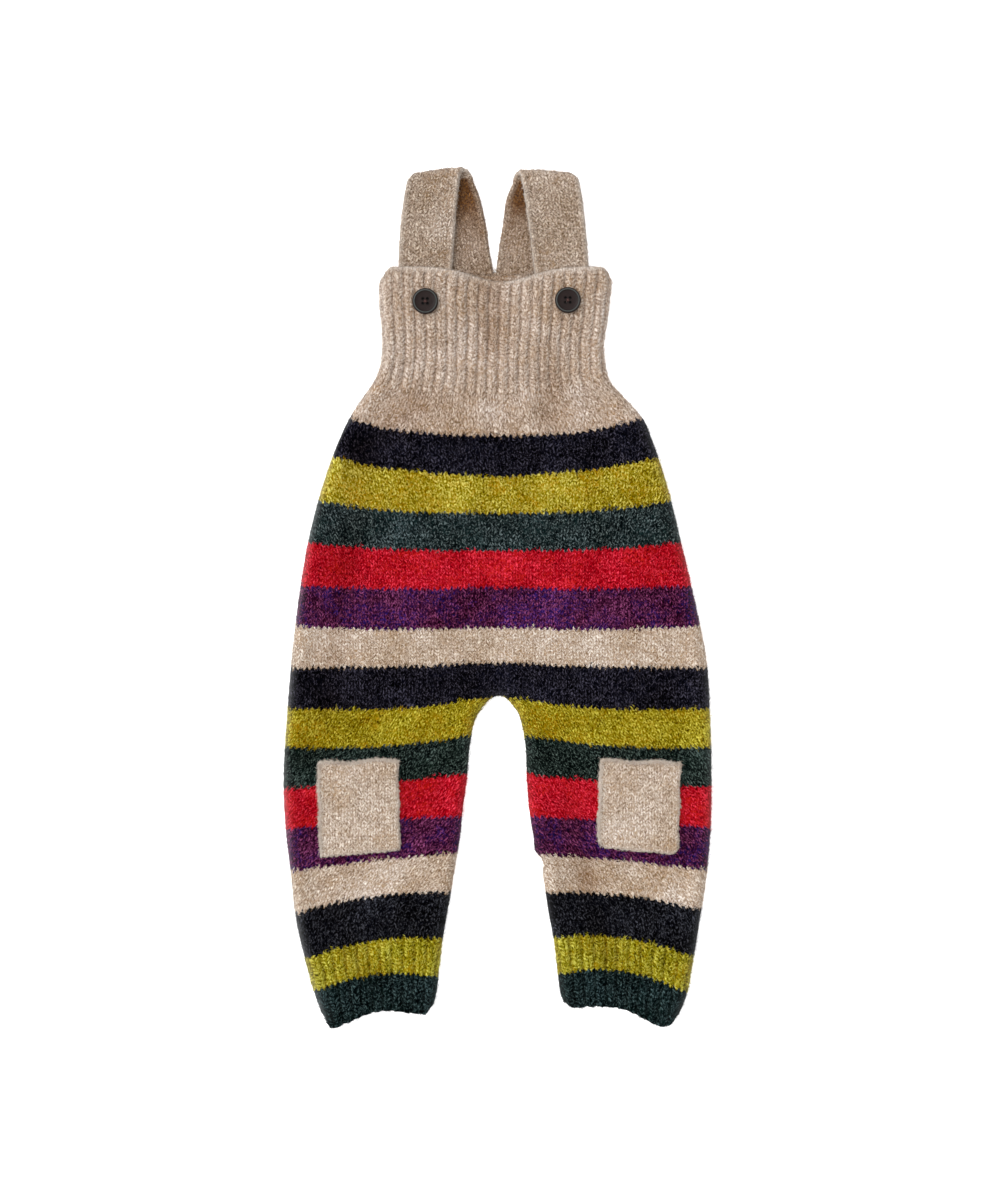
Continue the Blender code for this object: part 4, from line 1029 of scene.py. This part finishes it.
# slips of three faces rooted at random in a grid, each bent once, in the colour of the yarn below:
# short wide tufts along the stitches' strands, and thin hairs every way
def makeFuzz(name, points, normals, knit, bands, shade, more=1.0, slant=fuzz["slant"],
             spread=fuzz["spread"]):
    rng = np.random.default_rng(sum(map(ord, name)))
    right, down = points[:-1, 1:] - points[:-1, :-1], points[1:, :-1] - points[:-1, :-1]
    facing = normals[:-1, :-1, 2]
    share = np.where(facing < fuzz["side"], fuzz["sideShare"], 1.0)
    share = np.where(facing < fuzz["underneath"], fuzz["backShare"], share)
    weight = np.linalg.norm(np.cross(right, down), axis=-1) * share * more
    walk = np.cumsum(weight.ravel())
    spread = np.broadcast_to(spread, weight.shape)
    palette = np.array([[toLinear(tone) for tone in yarns[yarn]] for yarn in bands])
    corners, colours = [], []
    for kind in ("tuft", "hair"):
        count = int(walk[-1] * fuzz[kind + "Density"])
        at = np.unravel_index(np.searchsorted(walk, rng.uniform(0, walk[-1], count)), weight.shape)
        a, b = rng.uniform(0, 1, (2, count, 1))
        root = points[at] + right[at] * a + down[at] * b
        normal, spot = normals[at], knit[at] * (1 - b) + knit[at[0] + 1, at[1]] * b
        upward = unit(-down[at] + (down[at] * normal).sum(axis=1, keepdims=True) * normal)
        across = np.cross(normal, upward)
        turn = rng.uniform(0, 2 * math.pi, (count, 1))
        if kind == "tuft":
            lean = np.where(spot[:, :1] % 1.0 > 0.5, 1, -1) * math.radians(slant)
            turn = lean + rng.normal(0, 1, (count, 1)) * spread[at][:, None]
        along = upward * np.cos(turn) + across * np.sin(turn)
        sideways = np.cross(normal, along)
        length, width, lift = (
            rng.uniform(*fuzz[kind + part], (count, 1)) for part in ("Length", "Width", "Lift"))
        longer = 1 + fuzz["sideReach"] * (facing[at] < fuzz["side"])[:, None]
        length, lift = length * longer, lift * longer
        start = root - normal * fuzz["rootDepth"] - along * length * fuzz["rootShare"]
        middle = root + normal * lift + sideways * rng.normal(0, fuzz["middleSway"], (count, 1)) * length
        tip = root + along * length * (1 - fuzz["rootShare"])
        tip += normal * lift * rng.uniform(*fuzz["tipRise"], (count, 1))
        tip += sideways * rng.normal(0, fuzz["tipSway"], (count, 1)) * length
        half = sideways * width / 2
        foot = half * fuzz["rootWidth"]
        slip = np.stack([start - foot, start + foot, middle + half, middle - half, tip], axis=1)
        slip[..., 2] = np.maximum(slip[..., 2], fuzz["lowest"])
        corners.append(slip)

        # pit, body, glint and stray shade of the yarn, mixed by how bright the fibre is
        pit, body, glint, stray = (palette[bandOf(spot[:, 0], spot[:, 1], bands), k] for k in range(4))
        light = rng.uniform(0, 1, (count, 1))
        bright = np.maximum(light - fuzz["darkShare"], 0) / (1 - fuzz["darkShare"])
        colour = np.where(light < fuzz["darkShare"], pit + (body - pit) * (0.5 + light),
                          body + (glint - body) * bright ** finish["glintPower"] * fuzz["glint"])
        clustered = feltWaves(root[:, 0], root[:, 1], "cluster", 71)
        clustered = clustered > rng.uniform(*fuzz["strayRange"], count)
        colour += (stray - colour) * clustered[:, None] * fuzz["strayShare"]
        # painted shade darkens a fibre where the cloth is shaded, and painted edge light turns it paler
        dark, paintedEdgeLight = np.clip(shade[at], 0, 1)[:, None], np.maximum(-shade[at], 0)[:, None]
        colour *= 1 - dark * (1 - np.array(inside))
        paintedEdgeLight = fuzz["edgeLightGain"] * paintedEdgeLight * rng.uniform(*fuzz["edgeLightRange"], (count, 1))
        tone = glint * (1 - finish["edgeLightWhite"]) + np.array(finish["edgeLightColour"]) * finish["edgeLightWhite"]
        colours.append(colour * (1 - paintedEdgeLight) + tone * paintedEdgeLight)
    corners, colours = np.concatenate(corners), np.concatenate(colours)
    first = np.arange(len(corners))[:, None] * 5
    faces = np.concatenate([first + [0, 1, 2], first + [0, 2, 3], first + [3, 2, 4]])
    piece = newPiece(name, corners.reshape(-1, 3), faces, fibre)
    attribute = piece.data.attributes.new("fibreColour", "FLOAT_COLOR", "POINT")
    rgba = np.concatenate([np.repeat(colours, 5, axis=0), np.ones((corners.size // 3, 1))], axis=1)
    attribute.data.foreach_set("color", rgba.astype(np.float32).ravel())
    finishPiece(piece)
    print(name, len(faces), "triangles")


# Materials

finish = {
    "albedo": 0.80,                 # the studio is brighter than the colours were read at
    "streakContrast": 5.0, "fineContrast": 5.8, "streakShare": 0.62,
    "glintPower": 1.5,              # how sparse the bright flecks are
    "pitDepth": 0.60, "pitLift": 0.21,      # painted shade: how much darker gaps between strands are, the rest lighter
    "valleyShade": 0.30,            # painted shade: how dark the grooves between ribs are
    "strayMix": 0.72,               # of the other shade in clusters of spots, each cut off below a level
    "strayLevels": (0.42, 0.46), "strayContrast": (5.0, 6.0),
    "toothDepth": 1.7,              # rows between the tip and the root of a colour change's teeth
    "toothSway": ((0.3, 1.7, 0.9, 0.0), (0.3, 0.61, 0.5, 2.0)),     # its sine waves among the fibres
    "raggedness": 2.0, "hairMix": 1.8,      # uneven edge and crossing hairs of a colour change, in rows
    "drift": (0.30, 0.44, 0.72),    # how much red, green and blue wander, the dark places being warmer
    "patchiness": 0.55,             # how much the share of bright flecks wanders with them
    "edgeLightColour": (0.72, 0.73, 0.73), "edgeLightWhite": 0.5,       # painted edge light: its pale tone, linear, and its share over the yarn's glint
    "bumpDistance": 0.0008, "bumpStrength": 0.7, "bumpRelief": 0.5, "bumpFleck": 0.7,
    "sheen": 0.01, "paleSheen": 0.4, "roughness": 0.95, "fibreRoughness": 0.9,
}

# strands of a stitch: how far its sides and rows wander, width and length of the plies' streaks
strands = {
    "wander": (0.5, 1.2), "plyWidth": 0.80, "plyLength": 2.3, "chevron": 1.6, "strandPower": 0.6,
    "armPower": 0.45, "armShift": 3.7, "groove": (0.26, 0.47),      # in shares of a rib off its middle
}

# noises: scale for each metre, detail, roughness, distortion
grain = {
    "warp": (150, 2, 0.5, 0), "plies": (1, 2, 0.6, 0.4), "fine": (820, 2, 0.6, 1.5),
    "cluster": (62, 2, 0.5, 0), "spots": (520, 2, 0.7, 1), "drift": (38, 1, 0.5, 0),
    "ragged": (300, 3, 0.7, 0), "mottle": (300, 4, 0.5, 0), "scratch": (1400, 2, 0.5, 0),
    "floor": (3, 2, 0.5, 0),
}


# a shader node with its settings, each input linked to a socket or set to a value
def addNode(tree, kind, inputs=None, **settings):
    node = tree.nodes.new(kind)
    for key, value in settings.items():
        setattr(node, key, value)
    for key, value in (inputs or {}).items():
        value = getattr(value, "socket", value)
        if isinstance(value, bpy.types.NodeSocket):
            tree.links.new(value, node.inputs[key])
        else:
            node.inputs[key].default_value = value
    return node


# a number in a shader, whose sums and products are math nodes in its tree
class Reading:
    def __init__(self, socket):
        self.socket = socket

    def make(self, operation, *others):
        inputs = dict(enumerate([self, *others]))
        node = addNode(self.socket.id_data, "ShaderNodeMath", inputs, operation=operation)
        return Reading(node.outputs[0])

    def clamped(self):
        self.socket.node.use_clamp = True
        return self

    def __add__(self, other):
        return self.make("ADD", other)

    def __sub__(self, other):
        return self.make("SUBTRACT", other)

    def __mul__(self, other):
        return self.make("MULTIPLY", other)

    def __truediv__(self, other):
        return self.make("DIVIDE", other)

    def __pow__(self, other):
        return self.make("POWER", other)

    def __abs__(self):
        return self.make("ABSOLUTE")

    # the fraction less a half
    def offHalf(self):
        return self.make("FRACT") - 0.5

    # a noise from 0 to 1 spread evenly round 0
    def around(self, width):
        return self * width - width / 2


def mixColour(tree, factor, first, second, blend="MIX"):
    inputs = {0: factor, 6: first, 7: second}
    return addNode(tree, "ShaderNodeMix", inputs, data_type="RGBA", blend_type=blend).outputs[2]


def noise(tree, place, name, output=0):
    scale, detail, roughness, distortion = grain[name]
    return Reading(addNode(tree, "ShaderNodeTexNoise", {
        "Vector": place, "Scale": scale, "Detail": detail, "Roughness": roughness,
        "Distortion": distortion}).outputs[output])


def parts(tree, vector):
    return [Reading(socket) for socket in addNode(tree, "ShaderNodeSeparateXYZ", {0: vector}).outputs]


# a node group with named inputs and outputs, its inputs as readings
def newGroup(name, inputs, outputs):
    group = bpy.data.node_groups.new(name, "ShaderNodeTree")
    for label, kind, value in inputs:
        socket = group.interface.new_socket(label, in_out="INPUT", socket_type="NodeSocket" + kind)
        if value is not None:
            socket.default_value = value
    for label in outputs:
        group.interface.new_socket(label, in_out="OUTPUT", socket_type="NodeSocketFloat")
    given = group.nodes.new("NodeGroupInput").outputs
    result = group.nodes.new("NodeGroupOutput").inputs
    return group, [Reading(given[label]) for label, _, _ in inputs], result


# knitted stitches: each stitch is a V of two slanted strands. Streak is the light and dark of the plies
# along the strands, Relief their rounded height, and Valley the groove between ribs of two stitches
def stitchGroup():
    group, given, result = newGroup("stitchStrands", [
        ("Place", "Vector", None), ("Knit", "Vector", None), ("Ribbed", "Float", 0.0),
        ("Stitch Width", "Float", 4.05), ("Row Height", "Float", 2.85), ("Slant", "Float", 0.5)],
        ["Streak", "Relief", "Valley"])
    place, knit, ribbed, stitchWidth, rowHeight, slant = given
    warpU, warpV, _ = parts(group, noise(group, place, "warp", "Color"))
    u, v, _ = parts(group, knit)
    pair = ribbed.make("GREATER_THAN", 0.5) + 1.0
    u = u / pair
    half = abs(u.offHalf())
    u = u + warpU.around(strands["wander"][0])
    v = v + warpV.around(strands["wander"][1])
    offset = u.offHalf()
    away, side = abs(offset), offset.make("SIGN")
    x, y = u * stitchWidth * pair, v * rowHeight
    cosine, sine = slant.make("COSINE"), slant.make("SINE")
    plies = addNode(group, "ShaderNodeCombineXYZ", {
        0: (x * cosine + y * side * sine) / strands["plyWidth"],
        1: (x * side * sine - y * cosine) / strands["plyLength"], 2: side * strands["armShift"]})
    strand = abs(((v + away * strands["chevron"]) * math.pi).make("SINE")) ** strands["strandPower"]
    arm = abs((away * 2 * math.pi).make("SINE")) ** strands["armPower"]
    low, high = strands["groove"]
    valley = addNode(group, "ShaderNodeMapRange", {0: half, 1: low, 2: high},
                     interpolation_type="SMOOTHSTEP")
    values = noise(group, plies.outputs[0], "plies"), strand * arm, Reading(valley.outputs[0]) * ribbed
    for value, socket in zip(values, result):
        group.links.new(value.socket, socket)
    return group


# felted heather: Fine flecks of single hairs, Stray clusters of another shade, and a slow Drift of tone
def heatherGroup():
    group, (place,), result = newGroup("heather", [("Place", "Vector", None)], ["Fine", "Stray", "Drift"])
    fine, cluster, spots, drift = (
        noise(group, place, name) for name in ("fine", "cluster", "spots", "drift"))
    clustered, spotted = (
        ((value - level) * contrast).clamped() for value, level, contrast in
        zip((cluster, spots), finish["strayLevels"], finish["strayContrast"]))
    for value, socket in zip((fine, clustered * spotted, drift), result):
        group.links.new(value.socket, socket)
    return group


# a ramp of even steps, one colour to each stripe
def bandRamp(tree, place, colours):
    ramp = addNode(tree, "ShaderNodeValToRGB", {0: place})
    ramp.color_ramp.interpolation = "CONSTANT"
    stops = ramp.color_ramp.elements
    while len(stops) > 1:
        stops.remove(stops[-1])
    stops[0].position, stops[0].color = 0.0, (*colours[0], 1.0)
    for number, colour in enumerate(colours[1:], start=1):
        stops.new(number / len(colours)).color = (*colour, 1.0)
    return ramp.outputs[0]


def newMaterial(name, roughness, specular=0.0):
    material = bpy.data.materials.new(name)
    material.use_nodes = True
    shader = material.node_tree.nodes["Principled BSDF"]
    shader.inputs["Roughness"].default_value = roughness
    shader.inputs["Specular IOR Level"].default_value = specular
    return material, material.node_tree, shader


def objectPlace(tree):
    return addNode(tree, "ShaderNodeTexCoord").outputs["Object"]


def tint(*colour):
    return (*toLinear(colour), 1)


# felted wool: stripes by rows of stitches with toothed changes, streaked and flecked between each yarn's
# pit, body and glint, with painted shade in gaps, grooves, folds and inside, painted edge light, a soft
# bump
def knitMaterial(name, bands, groups, slant=fuzz["slant"], sheen=finish["sheen"]):
    material, tree, shader = newMaterial(name, finish["roughness"])
    place = objectPlace(tree)
    knit = addNode(tree, "ShaderNodeUVMap", uv_map="knit").outputs[0]
    ribbed, hollow = (Reading(addNode(tree, "ShaderNodeAttribute", attribute_name=label).outputs["Fac"])
                      for label in ("ribbed", "hollow"))
    stitch = addNode(tree, "ShaderNodeGroup", {
        "Place": place, "Knit": knit, "Ribbed": ribbed, "Stitch Width": garment["waleWidth"],
        "Row Height": garment["rowHeight"], "Slant": math.radians(slant)}, node_tree=groups["stitch"])
    heather = addNode(tree, "ShaderNodeGroup", {"Place": place}, node_tree=groups["heather"])
    streak, relief, valley, fine, stray, drift = map(Reading, [*stitch.outputs, *heather.outputs])

    wale, row, _ = parts(tree, knit)
    tooth = abs(wale.offHalf()) * finish["toothDepth"] - finish["toothDepth"] / 4
    ragged = noise(tree, place, "ragged").around(finish["raggedness"])
    shifted = row + fine.around(finish["hairMix"]) + (tooth + ragged)
    band = (shifted / float(rowsInBand * len(bands))).clamped()
    pit, body, glint, other = (
        bandRamp(tree, band, [toLinear(yarns[yarn][k]) * finish["albedo"] for yarn in bands])
        for k in range(4))

    share = finish["streakShare"]
    light = (streak - 0.5) * (finish["streakContrast"] * share)
    light = light + (fine - 0.5) * (finish["fineContrast"] * (1 - share)) + (0.5 + finish["pitLift"])
    light = light + drift.around(finish["patchiness"])
    light = (light - (relief * -finish["pitDepth"] + finish["pitDepth"])).clamped()
    low, high = (light * 2.0).clamped(), (light * 2.0 - 1.0).clamped() ** finish["glintPower"]
    colour = mixColour(tree, high, mixColour(tree, low, pit, body), glint)
    colour = mixColour(tree, stray * finish["strayMix"], colour, other)
    levels = addNode(tree, "ShaderNodeCombineXYZ", {
        k: drift.around(width) + 1.0 for k, width in enumerate(finish["drift"])})
    colour = mixColour(tree, 1.0, colour, levels.outputs[0], "MULTIPLY")
    # painted shade in folds, grooves and inside, then painted light toward a pale tone at edges
    shaded = (hollow.make("MAXIMUM", 0.0) + valley * finish["valleyShade"]).clamped()
    colour = mixColour(tree, shaded, colour, mixColour(tree, 1.0, colour, (*inside, 1), "MULTIPLY"))
    pale = mixColour(tree, finish["edgeLightWhite"], glint, (*finish["edgeLightColour"], 1))
    colour = mixColour(tree, (hollow * -1.0).clamped(), colour, pale)
    tree.links.new(colour, shader.inputs["Base Color"])

    bump = addNode(tree, "ShaderNodeBump", {
        "Height": relief * finish["bumpRelief"] + light * finish["bumpFleck"] - valley,
        "Strength": finish["bumpStrength"], "Distance": finish["bumpDistance"]})
    tree.links.new(bump.outputs[0], shader.inputs["Normal"])
    shader.inputs["Sheen Weight"].default_value = sheen
    return material


# loose fibres, each in the colour of the yarn below it
def fibreMaterial():
    material, tree, shader = newMaterial("looseFibres", finish["fibreRoughness"])
    colour = addNode(tree, "ShaderNodeAttribute", attribute_name="fibreColour").outputs["Color"]
    colour = mixColour(tree, 1.0, colour, (*[finish["albedo"]] * 3, 1), "MULTIPLY")
    tree.links.new(colour, shader.inputs["Base Color"])
    return material


# dark pressed plastic: by height a brown dish with faint mottling, a slate band on the rim's crest as
# painted highlight, and holes painted black as shade, with fine scratches in the gloss
def buttonMaterial():
    material, tree, shader = newMaterial("buttonPlastic", button["roughness"], button["specular"])
    place = objectPlace(tree)
    dish = mixColour(tree, noise(tree, place, "mottle"), tint(20, 11, 10), tint(34, 23, 21))
    height = parts(tree, place)[2]
    aboveHoles, aboveDish = (
        addNode(tree, "ShaderNodeMapRange", {0: height, 1: low, 2: high}).outputs[0]
        for low, high in (button["holeLevel"], button["rimLevel"]))
    colour = mixColour(tree, aboveHoles, tint(4, 3, 3), mixColour(tree, aboveDish, dish, tint(64, 68, 66)))
    tree.links.new(colour, shader.inputs["Base Color"])
    scratched = noise(tree, place, "scratch") * button["scratches"] + button["roughness"]
    tree.links.new(scratched.socket, shader.inputs["Roughness"])
    return material


# dark sewing thread, banded by its twist
def threadMaterial():
    material, tree, shader = newMaterial("sewingThread", 0.8, 0.5)
    twist = addNode(tree, "ShaderNodeTexWave", {
        "Vector": objectPlace(tree), "Scale": button["threadTwist"], "Distortion": 1.0})
    colour = mixColour(tree, twist.outputs["Fac"], tint(52, 28, 26), tint(84, 48, 42))
    tree.links.new(colour, shader.inputs["Base Color"])
    return material


# Floor, light and camera

studio = {
    "cameraHeight": 1.5, "frameHeight": 0.84, "cameraX": 0.00175, "cameraY": -0.0021,
    "frameLevel": 0.006,                    # height above the floor at which the frame has that size
    "skyStrength": 1.0,
    "sunStrength": 2.85, "sunFrom": (-0.9, 0.33, 0.9), "sunSoftness": 50,      # degrees across
    "floorTone": 0.95, "floorMottle": 0.01,
    "floorGlow": 0.6,                       # keeps the pale floor white round the garment
}


# a pale floor, an even white sky, a soft sun from the left and a camera straight above
def makeStudio():
    bpy.ops.mesh.primitive_plane_add(size=8.0, location=(0, 0, -0.0002))
    floor = bpy.context.object
    floor.name = "floor"
    material, tree, shader = newMaterial("paleFloor", 0.95)
    pale = studio["floorTone"]
    dull = pale - studio["floorMottle"]
    colour = mixColour(tree, noise(tree, objectPlace(tree), "floor"),
                       (dull, dull, dull, 1), (pale, pale, pale, 1))
    tree.links.new(colour, shader.inputs["Base Color"])
    shader.inputs["Emission Color"].default_value = (1, 1, 1, 1)
    shader.inputs["Emission Strength"].default_value = studio["floorGlow"]
    floor.data.materials.append(material)

    world = bpy.data.worlds.new("softSky")
    bpy.context.scene.world = world
    world.use_nodes = True
    sky = world.node_tree.nodes["Background"]
    sky.inputs["Color"].default_value = (1, 1, 1, 1)
    sky.inputs["Strength"].default_value = studio["skyStrength"]
    light = bpy.data.lights.new("windowLight", "SUN")
    light.energy = studio["sunStrength"]
    light.angle = math.radians(studio["sunSoftness"])
    lamp = addObject("windowLight", light)
    lamp.rotation_euler = (-Vector(studio["sunFrom"])).to_track_quat("-Z", "Y").to_euler()

    camera = bpy.data.cameras.new("camera")
    camera.sensor_width = 36
    camera.lens = 36 * studio["cameraHeight"] / studio["frameHeight"]
    eye = addObject("camera", camera)
    eye.location = (studio["cameraX"], studio["cameraY"], studio["cameraHeight"] + studio["frameLevel"])
    bpy.context.scene.camera = eye
    bpy.context.scene.view_settings.view_transform = "Standard"


# Making

makeStudio()
groups = {"stitch": stitchGroup(), "heather": heatherGroup()}
oatmealRib = knitMaterial("oatmealRib", ["oatmeal"], groups, sheen=finish["paleSheen"])
bodyStripes = knitMaterial("bodyStripes", bodyBands, groups)
legStripes = knitMaterial("legStripes", legBands, groups)
strapKnit = knitMaterial("strapKnit", ["strap"], groups, fuzz["strapSlant"], finish["paleSheen"])
patchKnit = knitMaterial("patchKnit", ["cream"], groups, sheen=finish["paleSheen"])
fibre = fibreMaterial()
plastic, thread = buttonMaterial(), threadMaterial()
print("materials made")

body = makeUpperTube()
legs = {side: makeLegTube(side, body) for side in ("left", "right")}
bibEnd = upper["bibSteps"]
makeTube("bib", body, 0, bibEnd, True, False, oatmealRib,
         ["bib_front", "bib_back"], ["oatmeal"])
makeTube("body", body, bibEnd, len(body["outer"]) - 1, False, False, bodyStripes,
         ["body_front", "body_back"], bodyBands)
print("bib and body made")
for side, (tube, cuffStart) in legs.items():
    name = side.capitalize()
    makeTube("leg" + name, tube, 0, cuffStart, False, False, legStripes,
             ["leg_" + side + "_front", "leg_" + side + "_back"], legBands)
    makeTube("cuff" + name, tube, cuffStart, len(tube["outer"]) - 1, False, True,
             legStripes, ["cuff_" + side + "_front", "cuff_" + side + "_back"], legBands)
    makePatch(side, patchKnit)
    makeStrap(side, strapKnit)
    makeButton(side, plastic, thread)
    print(side, "leg, cuff, patch, strap and button made")

bpy.context.view_layer.update()
